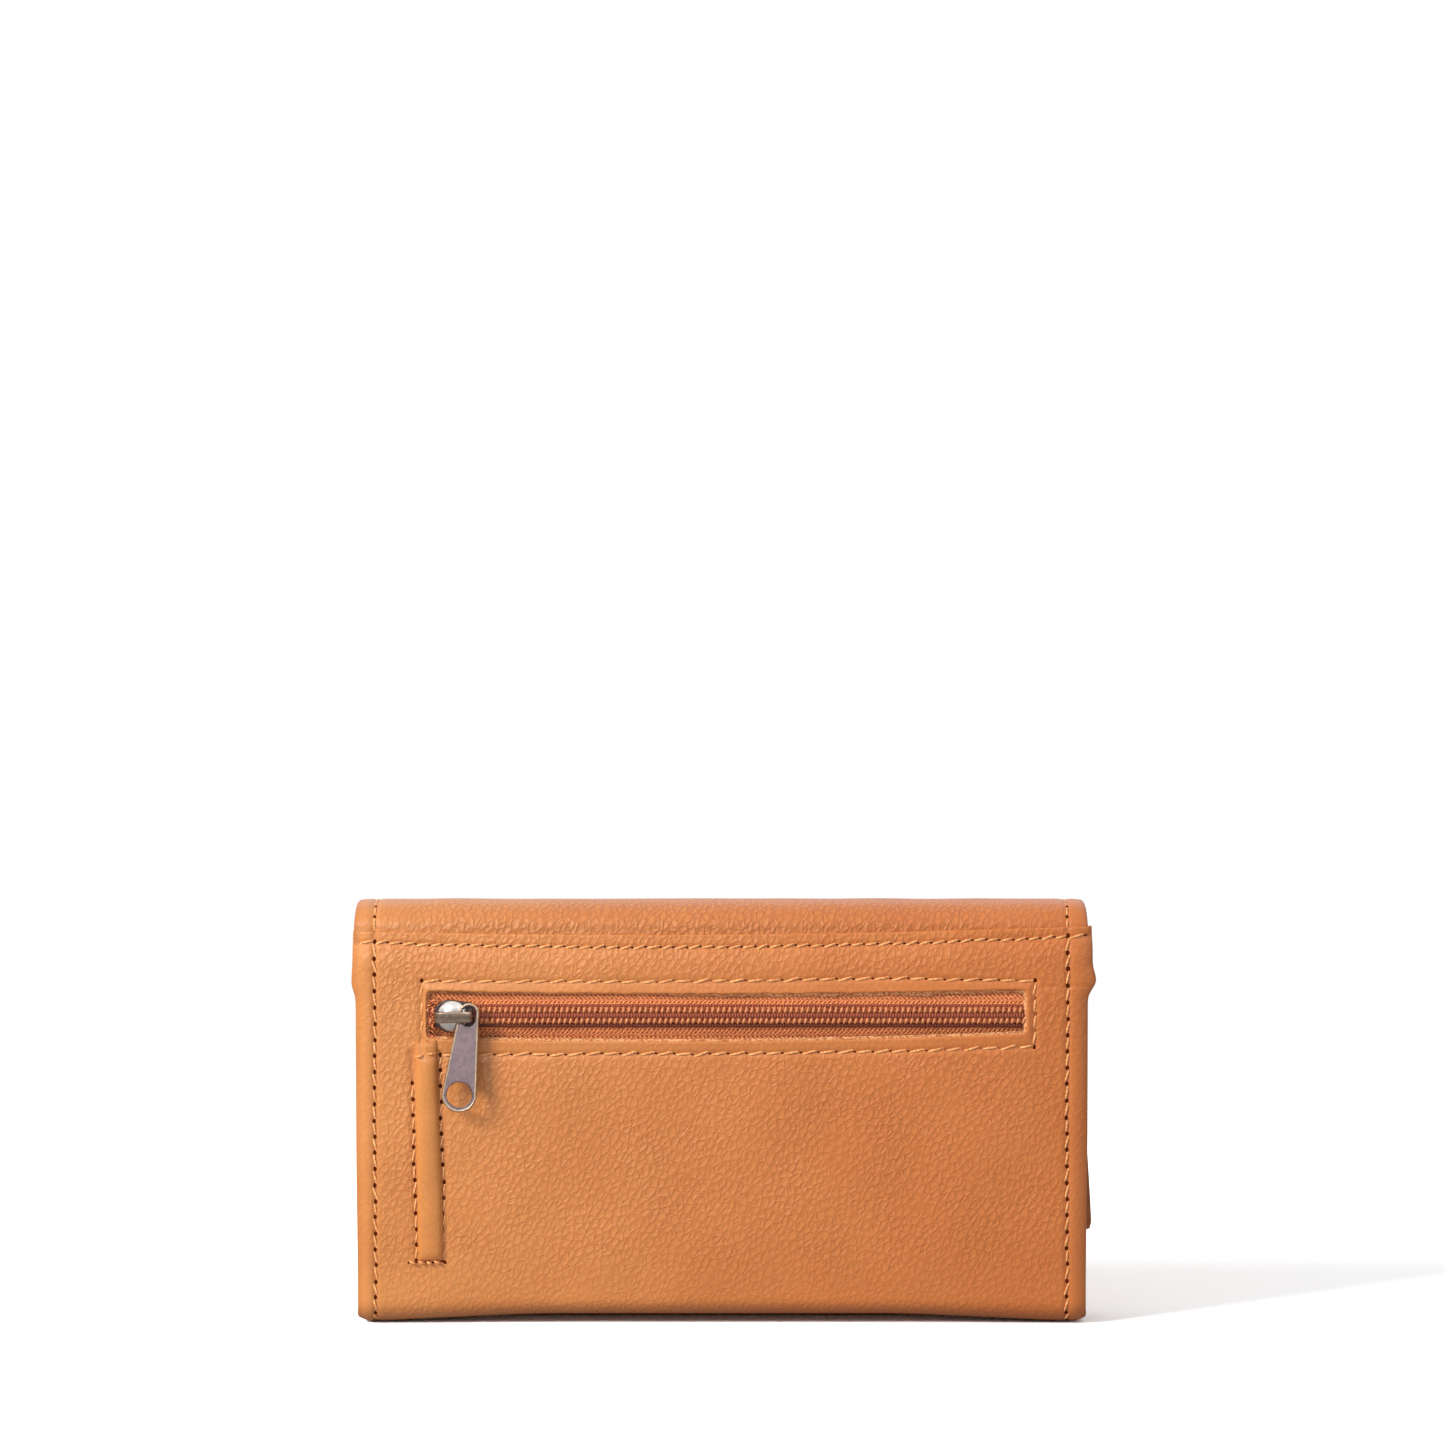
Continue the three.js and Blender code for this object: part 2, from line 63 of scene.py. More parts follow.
LEATHER = 1.2  # thickness
BACK_Y = -11.55  # grain side of the back
FRONT_Y = 10.25  # grain side of the front panel
FRONT_TOP = 92.0
BEND = 5.6  # outer radius of the bends at the bottom
SKIVE = 0.75  # how far the cut edge of the window slopes
GUSSET_LOW, GUSSET_HIGH = 9.4, 91.0
UNDER_SEAM_Y = 0.0  # where back and front leather meet under the wallet
HALF = 95.0  # nominal half length of the wallet
SIDE_EDGES = (-HALF, HALF)
SEAM_X = 89.8  # side seams
BACK_TOP = 102.4  # nominal height of the back's folded top edge
ARCH = 2.1  # how far the middle of the bottom edge stands clear of the surface
ARCH_FROM, ARCH_TO = 40.0, 100.0  # where the arch starts to fall and where it reaches the feet
ARCH_REACH = 9.2  # height up to which the arch shows

FLAP_BACK_Y = -10.15
FLAP_FRONT_Y = 15.45
FLAP_TOP = 109.4
FLAP_BEND = 8.6
FLAP_FOOT = 93.5  # lower edge of the flap leather behind the back panel
FLAP_END = 21.0
FLAP_DRIFT = 3.1  # how far the lower edge of the flap stands over to the right

WINDOW = (-76.3, 79.2)  # ends of the zip window
WINDOW_LOW, WINDOW_HIGH = 74.5, 86.6
ZIP_Z = 80.5  # middle of the zip
TAPE_Y = -10.15
TAPE_X = (-85, 86.5)
TAPE_LOW, TAPE_HIGH = 69.5, 91.6
TAPE_GAP = 0.7  # from the middle of the zip to each tape
FRAME_X = (-77.6, 81.3)  # ends of the stitched frame round the window
COIL_PITCH = 1.45
# A coil tooth, from its tape to the middle of the zip: how far from that, and out along Y
TOOTH = ((2.2, 0.1), (1.9, -0.5), (1.6, -1.0), (1.35, -1.2), (1.1, -1.0), (0.85, -0.5))
SLIDER_X = -69.3
PLATE_Y = -12.75
DOME = (4.1, 1.75, 4.15)  # radii along X, Y and Z of the slider's round end
PULL_AT = (-65.3, -14.0, 80.6)
PULL_LEAN = math.radians(6.7)
PULL_TILT = math.radians(6.0)  # lifts the free end clear of the strip
STRIP_LOW, STRIP_HIGH = 16.9, 73.7
STRIP_SEAMS = (-4.1, 3.2)  # stitch lines beside the strip, from its middle

EDGE_PITCH, JOIN_PITCH, FRAME_PITCH = 4.2, 3.5, 4.65  # needle holes from one to the next
HEM = 4.3  # from the edge of flap and front panel to the seam along it


def bowed(x, middle, tilt, bow):
    """A height along X: the middle's, and the tilt and bow that it has gained at the right end"""
    t = x / HALF
    return middle + tilt * t + bow * t**2


def join_line(x):
    """Height of the seam that joins the back panel to the flap"""
    return bowed(x, 98.3, 0.85, 2.15)


def ridge_line(x):
    """Height of the folded top edge of the back panel"""
    return bowed(x, 101.5, 0.65, 1.5)


def window_top(x):
    return bowed(x, 86.2, 0.2, 1.4)


def window_bottom(x):
    return bowed(x, 73.8, 0.75, 2.0)


def frame_top(x):
    """Height of the stitches above the window"""
    return 89.4 + 0.9 * hump(x, 45, 25)


def frame_bottom(x):
    """Height of the stitches below the window"""
    t = x / HALF
    return 70.7 + 0.45 * t + 2.0 * np.maximum(t, 0) ** 2


# ---- small maths ----

NEXT_TO_MARK = (0.12, 0.35, 0.7)  # how far from a mark the finer places stand
FINE = 0.4  # step of the grids along a seam


def smooth(value, start, end):
    """0 before start, 1 after end, smooth between"""
    t = np.clip((value - start) / (end - start), 0, 1)
    return t * t * (3 - 2 * t)


def hump(value, centre, width):
    return np.exp(-(((value - centre) / width) ** 2))


def within(value, low, high, soft=1.0):
    """1 from low to high, falling to 0 over `soft` on either side"""
    return smooth(value, low - soft, low) * (1 - smooth(value, high, high + soft))


def ripple(a, b, size, seed):
    """Smooth random rise and fall over (a, b), about -1 to 1, in waves about `size` long"""
    rng = np.random.default_rng(seed)
    total = 0
    for _ in range(6):
        angle, phase = rng.uniform(0, 2 * math.pi, 2)
        wave = 2 * math.pi / (size * rng.uniform(0.7, 1.6))
        total = total + np.sin(wave * (a * math.cos(angle) + b * math.sin(angle)) + phase)
    return total / 3.5


def spread(marks, step):
    """Places between the marks about `step` apart, with finer ones next to each mark"""
    places = set(marks)
    for low, high in zip(marks, marks[1:]):
        near = [f for f in NEXT_TO_MARK if f < (high - low) / 2]
        places.update([low + f for f in near] + [high - f for f in near])
        inset = near[-1] if near else 0
        count = max(1, round((high - low - 2 * inset) / step))
        places.update(np.linspace(low + inset, high - inset, count + 1))
    return np.array(sorted(places))


def densify(places, centre, half=1.2):
    """Adds places every FINE within `half` of the centre"""
    kept = places[np.abs(places - centre) > half]
    return np.sort(np.concatenate([kept, np.arange(centre - half, centre + half + FINE / 2, FINE)]))


def grid(xs, vs):
    return np.meshgrid(xs, vs, indexing="ij")


def join(*parts):
    """Arrays of coordinates as one array of points"""
    return np.stack(parts, axis=-1)


def around(count):
    """Angles evenly round a full turn"""
    return np.linspace(0, 2 * math.pi, count, endpoint=False)


def unit(vectors):
    return vectors / np.linalg.norm(vectors, axis=-1, keepdims=True)


def run_along(points):
    """How far along a line of points each one is"""
    return np.concatenate([[0], np.cumsum(np.linalg.norm(np.diff(points, axis=0), axis=1))])


def arc(x, y, radius, start=0.0, end=360.0, steps=40):
    angles = np.radians(np.linspace(start, end, steps, endpoint=abs(end - start) < 360))
    return [(x + radius * math.cos(a), y + radius * math.sin(a)) for a in angles]


# ---- leather surfaces ----


class Skin:
    """The grain side of a leather: a line in the Y-Z plane, swept along X and given some relief.

    A point is named by x and v: v runs along the line from v_start, and falls when `down` is set.
    """

    def __init__(self, line, v_start, half, relief, lift=None, drift=None, down=False):
        points = np.array(line, float)
        run = run_along(points)
        tangent = unit(np.gradient(points, run, axis=0))
        v = v_start - run if down else v_start + run
        rising = slice(None, None, -1 if down else 1)
        self.v, self.points, self.tangent = v[rising], points[rising], tangent[rising]
        self.half, self.relief, self.lift, self.drift = half, relief, lift, drift

    def normal(self, v):
        ty, tz = (np.interp(v, self.v, self.tangent[:, i]) for i in (0, 1))
        size = np.hypot(ty, tz)
        return -tz / size, ty / size

    def at(self, x, v, out=0.0):
        """The point (x, v), moved outwards by `out`"""
        x, v = np.broadcast_arrays(x, v)
        ny, nz = self.normal(v)
        rise = self.relief(x, v) + out
        y = np.interp(v, self.v, self.points[:, 0]) + ny * rise
        z = np.interp(v, self.v, self.points[:, 1]) + nz * rise
        wider = (self.half(np.sign(x), v) - HALF) * smooth(np.abs(x), 89, HALF)
        aside = x + np.sign(x) * wider
        if self.lift:
            z = z + self.lift(x, y, z)
        if self.drift:
            aside = aside + self.drift(v)
        return join(aside, y, z)


def arch(x, y, z):
    """Lift of the bottom edge: highest at the back and in the middle, nothing at the front"""
    along = 1 - smooth(np.abs(x), ARCH_FROM, ARCH_TO)
    across = 1 - smooth(y, -1, 4)
    return ARCH * along * across * np.clip(1 - z / ARCH_REACH, 0, 1)


def side_groove(x):
    return -0.32 * hump(np.abs(x), SEAM_X, 0.9)


def side_fall(x, depth=1.2):
    return -depth * smooth(np.abs(x), SEAM_X + 0.8, HALF + 0.6) ** 2


def back_half(side, v):
    """Half the width of the back at height v, on the left (side -1) or the right (side 1)"""
    width = np.where(side > 0, 94.9, 94.45)
    width = width + 0.3 * smooth(v, 8, 50) + 0.3 * smooth(-v, -4, 2) - 0.4 * smooth(-v, -1, 4)
    shoulder = np.where(side > 0, 1.2, 0.8) * smooth(v, 84.5, 89) * (1 - 0.2 * smooth(v, 97, 104))
    bulge = np.where(side > 0, 0.9 * hump(v, 89.8, 2.6), 0.3 * hump(v, 89, 4))
    return width + shoulder + bulge


def strip_centre(z):
    return -75.0 - 1.0 * smooth(z, 16, 72)


def sewn(x, v):
    """How near a point is to the sewing of the back: 1 on a line of stitches, 0 away from them"""
    across = within(x, *FRAME_X)
    up = within(v, frame_bottom(x), frame_top(x))
    lines = [hump(v, height(x), 0.7) * across for height in (frame_top, frame_bottom)]
    lines += [hump(x, end, 0.7) * up for end in FRAME_X]
    for aside in STRIP_SEAMS:
        lines.append(hump(x, strip_centre(v) + aside, 0.7) * within(v, STRIP_LOW, 71))
    lines.append(hump(v, join_line(x), 0.7))
    lines.append(hump(np.abs(x), SEAM_X, 0.7) * (v < join_line(x) + 3))
    return np.maximum.reduce(lines)


def back_relief(x, v):
    """Slack between the seams, a slight belly, and the tuck under the flap"""
    slack = 0.28 * ripple(x, v, 46, 3) + 0.13 * ripple(x, v, 17, 4)
    rise = slack * within(v, 12, 96, 10)
    rise += 0.7 * (1 - (np.abs(x) / HALF) ** 4) * within(v, 25, 60, 26)
    rise += side_fall(x) - 0.36 * sewn(x, v)
    rise -= 1.1 * smooth(v, join_line(x) - 6, ridge_line(x))
    rise -= 0.12 * hump(v, 86.3 + 0.02 * x, 0.5) * smooth(np.abs(x), 80, 84)
    return rise


def flap_half(_side, v):
    return 95.2 - 0.4 * smooth(v, 8, 20)


def flap_drift(v):
    """How far the flap leans over to the right on its way down the front"""
    return FLAP_DRIFT * smooth(v, 60, 140) / smooth(FLAP_LENGTH, 60, 140)


def flap_relief(x, v):
    slack = 0.25 * ripple(x, v, 50, 11) + 0.1 * ripple(x, v, 16, 12)
    rise = slack * smooth(v, 12, 40) + 0.35 * hump(x, -70, 5) * hump(v, 21, 7)
    rise += 0.5 * smooth(v, 8.4, 11) * (1 - smooth(v, 12, 20))
    rise += side_groove(x) + side_fall(x, 0.3)
    rise -= 0.32 * hump(v, FLAP_LENGTH - HEM, 0.9) * (np.abs(x) < SEAM_X)
    rise += 0.9 * within(v, 60, 100, 24) * (1 - (np.abs(x) / HALF) ** 4)
    return rise


def front_half(_side, v):
    return 94.6 + 0.4 * smooth(v, 8, 50)


def front_relief(x, v):
    rise = 0.15 * ripple(x, v, 50, 21) * within(v, 14, 86, 8)
    return rise + side_groove(x) + side_fall(x, 0.8) - 0.3 * hump(v, FRONT_TOP - HEM, 0.9)


BACK_LINE = [(UNDER_SEAM_Y, 0), (-2, 0), (-4, 0)]
BACK_LINE += arc(BACK_Y + BEND, BEND, BEND, -90, -180, 14)
BACK_LINE += [(BACK_Y, 8), (BACK_Y, 106)]
BACK_START = BEND - math.pi / 2 * BEND - (UNDER_SEAM_Y - BACK_Y - BEND)
BACK = Skin(BACK_LINE, BACK_START, back_half, back_relief, lift=arch)
FLAP_SHOULDER = FLAP_TOP - FLAP_BEND
FLAP_LINE = [(FLAP_BACK_Y, FLAP_FOOT), (FLAP_BACK_Y, FLAP_SHOULDER - 2)]
FLAP_LINE += arc(FLAP_BACK_Y + FLAP_BEND, FLAP_SHOULDER, FLAP_BEND, 180, 90, 14)
FLAP_LINE += arc(FLAP_FRONT_Y - FLAP_BEND, FLAP_SHOULDER, FLAP_BEND, 90, 0, 14)
FLAP_LINE += [(FLAP_FRONT_Y, FLAP_SHOULDER - 2), (FLAP_FRONT_Y, FLAP_END)]
FLAP_FLAT = (FLAP_FRONT_Y - FLAP_BACK_Y) - 2 * FLAP_BEND
FLAP_UP = FLAP_SHOULDER - FLAP_FOOT
FLAP_MIDDLE = FLAP_UP + math.pi / 2 * FLAP_BEND + FLAP_FLAT / 2  # v at its top
FLAP_LENGTH = 2 * FLAP_MIDDLE - FLAP_UP + FLAP_SHOULDER - FLAP_END  # v at its lower edge
FLAP = Skin(FLAP_LINE, 0, flap_half, flap_relief, drift=flap_drift)
FRONT_LINE = [(FRONT_Y, FRONT_TOP), (FRONT_Y, 8)]
FRONT_LINE += arc(FRONT_Y - BEND, BEND, BEND, 0, -90, 14)
FRONT_LINE += [(3, 0), (2, 0), (1, 0), (UNDER_SEAM_Y, 0)]
FRONT = Skin(FRONT_LINE, FRONT_TOP, front_half, front_relief, lift=arch, down=True)

# ---- materials ----


class Nodes:
    """Short ways to write the node graph of a material or a world"""

    def __init__(self, owner):
        owner.use_nodes = True
        self.owner, self.tree = owner, owner.node_tree

    def node(self, kind, inputs=(), **settings):
        """Adds a shader node, fed by name or number, and gives its outputs"""
        made = self.tree.nodes.new("ShaderNode" + kind)
        for key, value in settings.items():
            setattr(made, key, value)
        for key, value in dict(inputs).items():
            self.feed(made.inputs[key], value)
        return made.outputs

    def feed(self, socket, value):
        if isinstance(value, bpy.types.NodeSocket):
            self.tree.links.new(value, socket)
        else:
            socket.default_value = value

    def attribute(self, name, output="Vector"):
        return self.node("Attribute", attribute_name=name)[output]

    def math(self, operation, a, b=0.0, c=0.0):
        return self.node("Math", {0: a, 1: b, 2: c}, operation=operation)[0]

    def times(self, a, b, plus=0.0):
        return self.math("MULTIPLY_ADD", a, b, plus)

    def noise(self, vector, scale, detail=2.0, output="Fac"):
        inputs = {"Vector": vector, "Scale": scale, "Detail": detail}
        return self.node("TexNoise", inputs)[output]

    def cells(self, vector, scale, feature):
        inputs = {"Vector": vector, "Scale": scale}
        return self.node("TexVoronoi", inputs, feature=feature, voronoi_dimensions="2D")[0]

    def ramp(self, value, low, high, start=0.0, end=1.0):
        inputs = {"Value": value, "From Min": low, "From Max": high, "To Min": start, "To Max": end}
        return self.node("MapRange", inputs, interpolation_type="SMOOTHSTEP")[0]

    def mix(self, factor, a, b):
        """Colour a where the factor is 0 and b where it is 1; a triple is sRGB, 0 to 255"""
        a, b = (rgb(*c) if isinstance(c, tuple) and len(c) == 3 else c for c in (a, b))
        return self.node("Mix", {0: factor, 6: a, 7: b}, data_type="RGBA")[2]

    def bump(self, height, distance):
        return self.node("Bump", {"Height": height, "Distance": distance * MM})[0]

    def finish(self, colour, roughness, **values):
        """Sets the shader of a material, and gives the material back"""
        shader = self.tree.nodes["Principled BSDF"]
        for key, value in {"Base Color": colour, "Roughness": roughness, **values}.items():
            self.feed(shader.inputs[key.replace("_", " ")], value)
        return self.owner


def new_look(name):
    return Nodes(bpy.data.materials.new(name))


def rgb(*colour):
    """The colour that a socket takes, from sRGB 0 to 255"""
    parts = [c / 255 for c in colour]
    linear = [p / 12.92 if p < 0.04 else ((p + 0.055) / 1.055) ** 2.4 for p in parts]
    return (*linear, 1.0)


# The last of these three is the tone of painted shade
TAN, PALE, PAINTED_SHADE_TONE = (193, 122, 62), (201, 131, 70), (112, 48, 18)
RIGHTWARD_SHADE_TONE = (195, 95, 33)  # painted light and shade: the tone draws towards this along the wallet, paler at the left, nearer the light, darker and redder at the right
CREASE_SHADE_TONE = (158, 66, 22)  # painted shade: the tone that the bottom of the creases draws to
PEBBLE = 0.6  # cells per mm across the slant
SLANT = math.radians(62)  # direction in which the pebbles are drawn out


def leather(name, tan=TAN, pale=PALE, grain=1.0, shade_to_right=0.0):
    """Pebbled leather: plump slanting cells about 2 mm across, with soft creases between"""
    g = new_look(name)
    rest = g.attribute("rest")
    drawn = {"Vector": rest, "Rotation": (0, 0, SLANT), "Scale": (1.35, 0.95, 1)}
    slanted = g.node("Mapping", drawn, vector_type="TEXTURE")[0]
    shift = g.noise(slanted, 0.6, 2, "Color")
    bent = g.node("VectorMath", {0: shift, "Scale": 1.9}, operation="SCALE")[0]
    where = g.node("VectorMath", {0: slanted, 1: bent}, operation="ADD")[0]
    plump = g.ramp(g.cells(where, PEBBLE, "F1"), 0.0, 0.8, 1.0, 0.0)
    crease = g.ramp(g.cells(where, PEBBLE, "DISTANCE_TO_EDGE"), 0.0, 0.26, 1.0, 0.0)
    fold = g.ramp(g.cells(where, PEBBLE / 4, "DISTANCE_TO_EDGE"), 0.0, 0.06, 1.0, 0.0)
    patches = g.ramp(g.noise(rest, 0.08, 2), 0.3, 0.7, 0.65, 1.0)
    share = g.times(patches, g.attribute("grain", "Fac"))
    pores = g.noise(rest, 2.2, 2)
    relief = g.times(crease, -0.45, plump)
    relief = g.times(fold, -0.25, relief)
    relief = g.times(relief, share)
    relief = g.times(pores, 0.22, relief)
    cloud = g.ramp(g.noise(rest, 0.03, 3), 0.3, 0.7)
    colour = g.mix(cloud, tan, pale)
    along = g.node("SeparateXYZ", {0: rest})[0]
    # Painted light and shade along the wallet: paler at the left, darker and redder towards the right
    colour = g.mix(g.ramp(along, -100, 100, 0.0, shade_to_right), colour, RIGHTWARD_SHADE_TONE)
    # Painted shade in the creases
    colour = g.mix(g.times(g.times(crease, share), 0.26), colour, CREASE_SHADE_TONE)
    # Painted shade wherever the shade attribute is set
    colour = g.mix(g.attribute("shade", "Fac"), colour, PAINTED_SHADE_TONE)
    roughness = g.times(pores, 0.1, 0.42)
    normal = g.bump(relief, 0.11 * grain)
    return g.finish(colour, roughness, Normal=normal)


def fibrous(name, dark, light, scale, detail, contrast, roughness, depth):
    """Fibres of sewing thread or of a cut edge of leather"""
    g = new_look(name)
    fuzz = g.noise(g.attribute("rest"), scale, detail)
    colour = g.mix(g.ramp(fuzz, 0.5 - contrast, 0.5 + contrast), dark, light)
    # Painted shade wherever the shade attribute is set, in a darker brown
    colour = g.mix(g.attribute("shade", "Fac"), colour, (104, 62, 40))
    return g.finish(colour, roughness, Normal=g.bump(fuzz, depth))


def lining(name):
    """Smooth split leather with a light nap"""
    g = new_look(name)
    rest = g.attribute("rest")
    nap = g.noise(rest, 1.6, 4)
    cloud = g.noise(rest, 0.05, 3)
    dark = (150, 92, 56)
    colour = g.mix(g.ramp(cloud, 0.3, 0.7), dark, (176, 112, 70))
    colour = g.mix(g.times(nap, 0.25), colour, dark)
    return g.finish(colour, 0.78, Normal=g.bump(nap, 0.05))


def weave(name, light, dark, across, along, slant=0.0, depth=0.08):
    """Woven cloth: threads `across` and `along` mm apart, rows leaning by turns if slant is set"""
    g = new_look(name)
    rest = g.attribute("rest")
    u, v, _ = g.node("SeparateXYZ", {0: rest})
    row = g.math("FLOOR", g.math("DIVIDE", v, along * 2))
    turn = g.times(g.math("FLOORED_MODULO", row, 2.0), 2.0, -1.0)
    lean = g.times(g.times(v, turn), slant)
    warp = g.math("SINE", g.times(g.math("ADD", u, lean), 2 * math.pi / across))
    weft = g.math("SINE", g.times(v, 2 * math.pi / along))
    both = g.times(g.times(warp, weft), 0.25, 0.5)
    both = g.times(warp, 0.25, both)
    fuzz = g.noise(rest, 1.6, 3)
    height = g.times(fuzz, 0.9, both)
    colour = g.mix(g.ramp(height, 0.65, 1.25), dark, light)
    return g.finish(colour, 0.85, Normal=g.bump(height, depth))


def plain(name, colour, roughness, metallic=0.0, vary=0.05, uneven=0.02):
    """A hard material whose tone and polish vary a little; uneven is its bump in mm"""
    g = new_look(name)
    place = g.node("TexCoord")["Object"]
    spots = g.noise(place, 900, 3)
    darker = tuple(c * (1 - vary * 2) for c in colour)
    tone = g.mix(g.ramp(spots, 0.3, 0.7), darker, colour)
    rough = g.times(spots, 0.16, roughness - 0.08)
    normal = g.bump(spots, uneven)
    return g.finish(tone, rough, Metallic=metallic, Normal=normal)


def hole_look(name):
    """The dark of a needle hole, reddest where its wall still catches light"""
    g = new_look(name)
    spot = g.noise(g.attribute("rest"), 1.2, 1)
    colour = g.mix(spot, (58, 16, 4), (96, 36, 12))
    return g.finish(colour, 1.0, Specular_IOR_Level=0.0)


LOOKS = {
    # The pebbled leather takes its share of painted shade towards the right end
    "leather": leather("pebbled_leather", shade_to_right=0.48),
    "strip": leather("smooth_leather", tan=(192, 122, 60), pale=(197, 128, 64), grain=0.2),
    "inner": leather("inner_leather", tan=(170, 98, 48), pale=(178, 106, 54), grain=0.5),
    "edge": fibrous("cut_edge", (172, 102, 60), (224, 164, 112), 1.5, 4, 0.1, 0.9, 0.25),
    "lining": lining("lining_leather"),
    "cloth": weave("pocket_cloth", (186, 140, 100), (140, 98, 66), 0.5, 0.5, depth=0.05),
    "tape": weave("zip_tape", (252, 159, 99), (174, 80, 43), 1.15, 0.9, slant=0.9, depth=0.3),
    "thread": fibrous("sewing_thread", (208, 132, 74), (244, 184, 122), 2.2, 2, 0.15, 0.6, 0.06),
    "hole": hole_look("needle_hole"),
    "coil": plain("coil_plastic", (214, 138, 92), 0.28),
    "cord": weave("zip_cord", (172, 90, 62), (122, 56, 40), 0.73, 0.6, depth=0.2),
    # Painted shade: a dark cord for where the legs of the lower row of teeth lie in shade
    "cord_in_shade": weave("zip_cord_in_shade", (130, 60, 38), (82, 34, 20), 0.73, 0.6, depth=0.2),
    "dark_metal": plain("dark_metal", (92, 78, 80), 0.4, 1.0),
    "gunmetal": plain("gunmetal", (141, 123, 127), 0.42, 1.0, uneven=0.023),
    "bronze": plain("bronze", (164, 142, 124), 0.28, 1.0),
    "brass": plain("worn_brass", (192, 168, 142), 0.4, 1.0),
    "nickel": plain("polished_nickel", (196, 190, 186), 0.2, 1.0, vary=0.03),
    "magnet": plain("magnet", (70, 70, 74), 0.4, 1.0, vary=0.15),
    "board": plain("board", (150, 116, 84), 0.9, vary=0.15),
}

# ---- mesh making ----


def add_object(name, data):
    made = bpy.data.objects.new(name, data)
    bpy.context.scene.collection.objects.link(made)
    return made


def show(name, mesh, looks, rest):
    """An object that shows a mesh with its looks; rest is where each point is on its pattern"""
    mesh.materials.clear()
    for look in looks:
        mesh.materials.append(LOOKS[look])
    place = np.asarray(rest, np.float32)
    mesh.attributes.new("rest", "FLOAT_VECTOR", "POINT").data.foreach_set("vector", place.ravel())
    mesh.polygons.foreach_set("use_smooth", [True] * len(mesh.polygons))
    return add_object(name, mesh)


def make(name, points, faces, looks, pick=0, rest=None, grain=1.0, shade=0.0):
    """An object from points in mm, with the attributes that the materials read"""
    mesh = bpy.data.meshes.new(name)
    mesh.from_pydata((np.asarray(points) * MM).tolist(), [], [list(map(int, f)) for f in faces])
    made = show(name, mesh, looks, points if rest is None else rest)
    mesh.polygons.foreach_set("material_index", np.full(len(faces), pick, np.int32))
    for key, value in (("grain", grain), ("shade", shade)):
        everywhere = np.full(len(mesh.vertices), value, np.float32)
        mesh.attributes.new(key, "FLOAT", "POINT").data.foreach_set("value", everywhere)
    return made


def ring_quads(index):
    """Quads between neighbouring rings of points; the last axis goes round a ring"""
    turned = np.roll(index, -1, axis=-1)
    corners = [index[..., :-1, :], index[..., 1:, :], turned[..., 1:, :], turned[..., :-1, :]]
    return np.stack(corners, axis=-1).reshape(-1, 4)


OUTSIDE = ("leather", "edge", "lining")


def slab(name, face, back, place, looks=OUTSIDE, keep=None, grain=1.0, shade=0.0, open_rows=()):
    """A sheet between two grids of points: its face, its back and the cut edge between them.

    open_rows names the ends of the grid, 0 or -1 along v, that carry on into another piece.
    """
    n, m = face.shape[:2]
    keep = np.ones((n - 1, m - 1), bool) if keep is None else keep
    index = np.arange(n * m).reshape(n, m)
    corners = join(index[:-1, :-1], index[1:, :-1], index[1:, 1:], index[:-1, 1:])[keep]
    edges = {}
    for quad in corners.tolist():
        edges.update(dict.fromkeys(zip(quad, quad[1:] + quad[:1])))
    rows = [set(index[:, row].tolist()) for row in open_rows]
    closed = [e for e in edges if e[::-1] not in edges and not any(row >= set(e) for row in rows)]
    points = np.concatenate([face.reshape(-1, 3), back.reshape(-1, 3)])
    rest = np.concatenate([place.reshape(-1, 3)] * 2)
    ends = np.unique(closed)
    rim = np.searchsorted(ends, closed) + len(points)
    quads = np.concatenate([rim, rim[:, ::-1] + len(ends)], axis=1)
    points = np.concatenate([points, points[ends], points[ends + n * m]])
    rest = np.concatenate([rest, rest[ends], rest[ends] + (0, 0, LEATHER)])
    faces = np.concatenate([corners[:, ::-1], corners + n * m, quads])
    pick = [0] * len(corners) + [min(2, len(looks) - 1)] * len(corners) + [1] * len(quads)

    def full(value):
        value = np.broadcast_to(value, (n, m)).ravel()
        return np.concatenate([value, value, value[ends], value[ends]])

    return make(name, points, faces, looks, pick, rest, full(grain), full(shade))


def round_off(gap, radius):
    """How far a face falls at a gap from an edge that is rounded to a radius"""
    t = np.clip(gap / radius, 0, 1)
    return radius * (1 - np.sqrt(1 - (1 - t) ** 2))


def edge_dip(x, v, v_edges, radius=0.55):
    """How far the grain side rounds off next to the side edges and the given ends along v"""
    gaps = [np.abs(x - edge) for edge in SIDE_EDGES] + [np.abs(v - edge) for edge in v_edges]
    return round_off(np.minimum.reduce(gaps), radius)


def place_of(x, v, layer=0.0):
    """Where points are on the pattern; each piece has a layer of it to itself"""
    x, v = np.broadcast_arrays(x, v)
    return join(x, v, np.full(x.shape, layer))


def new_curve(name, dimensions, loops, bevel, closed):
    curve = bpy.data.curves.new(name, "CURVE")
    curve.dimensions = dimensions
    curve.bevel_depth = bevel * MM
    curve.bevel_resolution = 2
    for loop in loops:
        spline = curve.splines.new("POLY")
        spline.points.add(len(loop) - 1)
        spline.points.foreach_set("co", [c for p in loop for c in (*(np.asarray(p) * MM), 1)])
        spline.use_cyclic_u = closed
    return curve


def outline_mesh(name, loops, depth, bevel, look):
    """A plate with rounded edges from outlines in its own XY plane; inner outlines are holes"""
    flat = [[(x, y, 0) for x, y in loop] for loop in loops]
    curve = new_curve(name, "2D", flat, bevel, True)
    curve.fill_mode = "BOTH"
    curve.extrude = (depth / 2 - bevel) * MM
    curve.offset = -bevel * MM
    return from_curve(name, curve, look)


def wire(name, loops, radius, look, closed=False):
    """Round wire along each line of points in mm"""
    return from_curve(name, new_curve(name, "3D", loops, radius, closed), look)


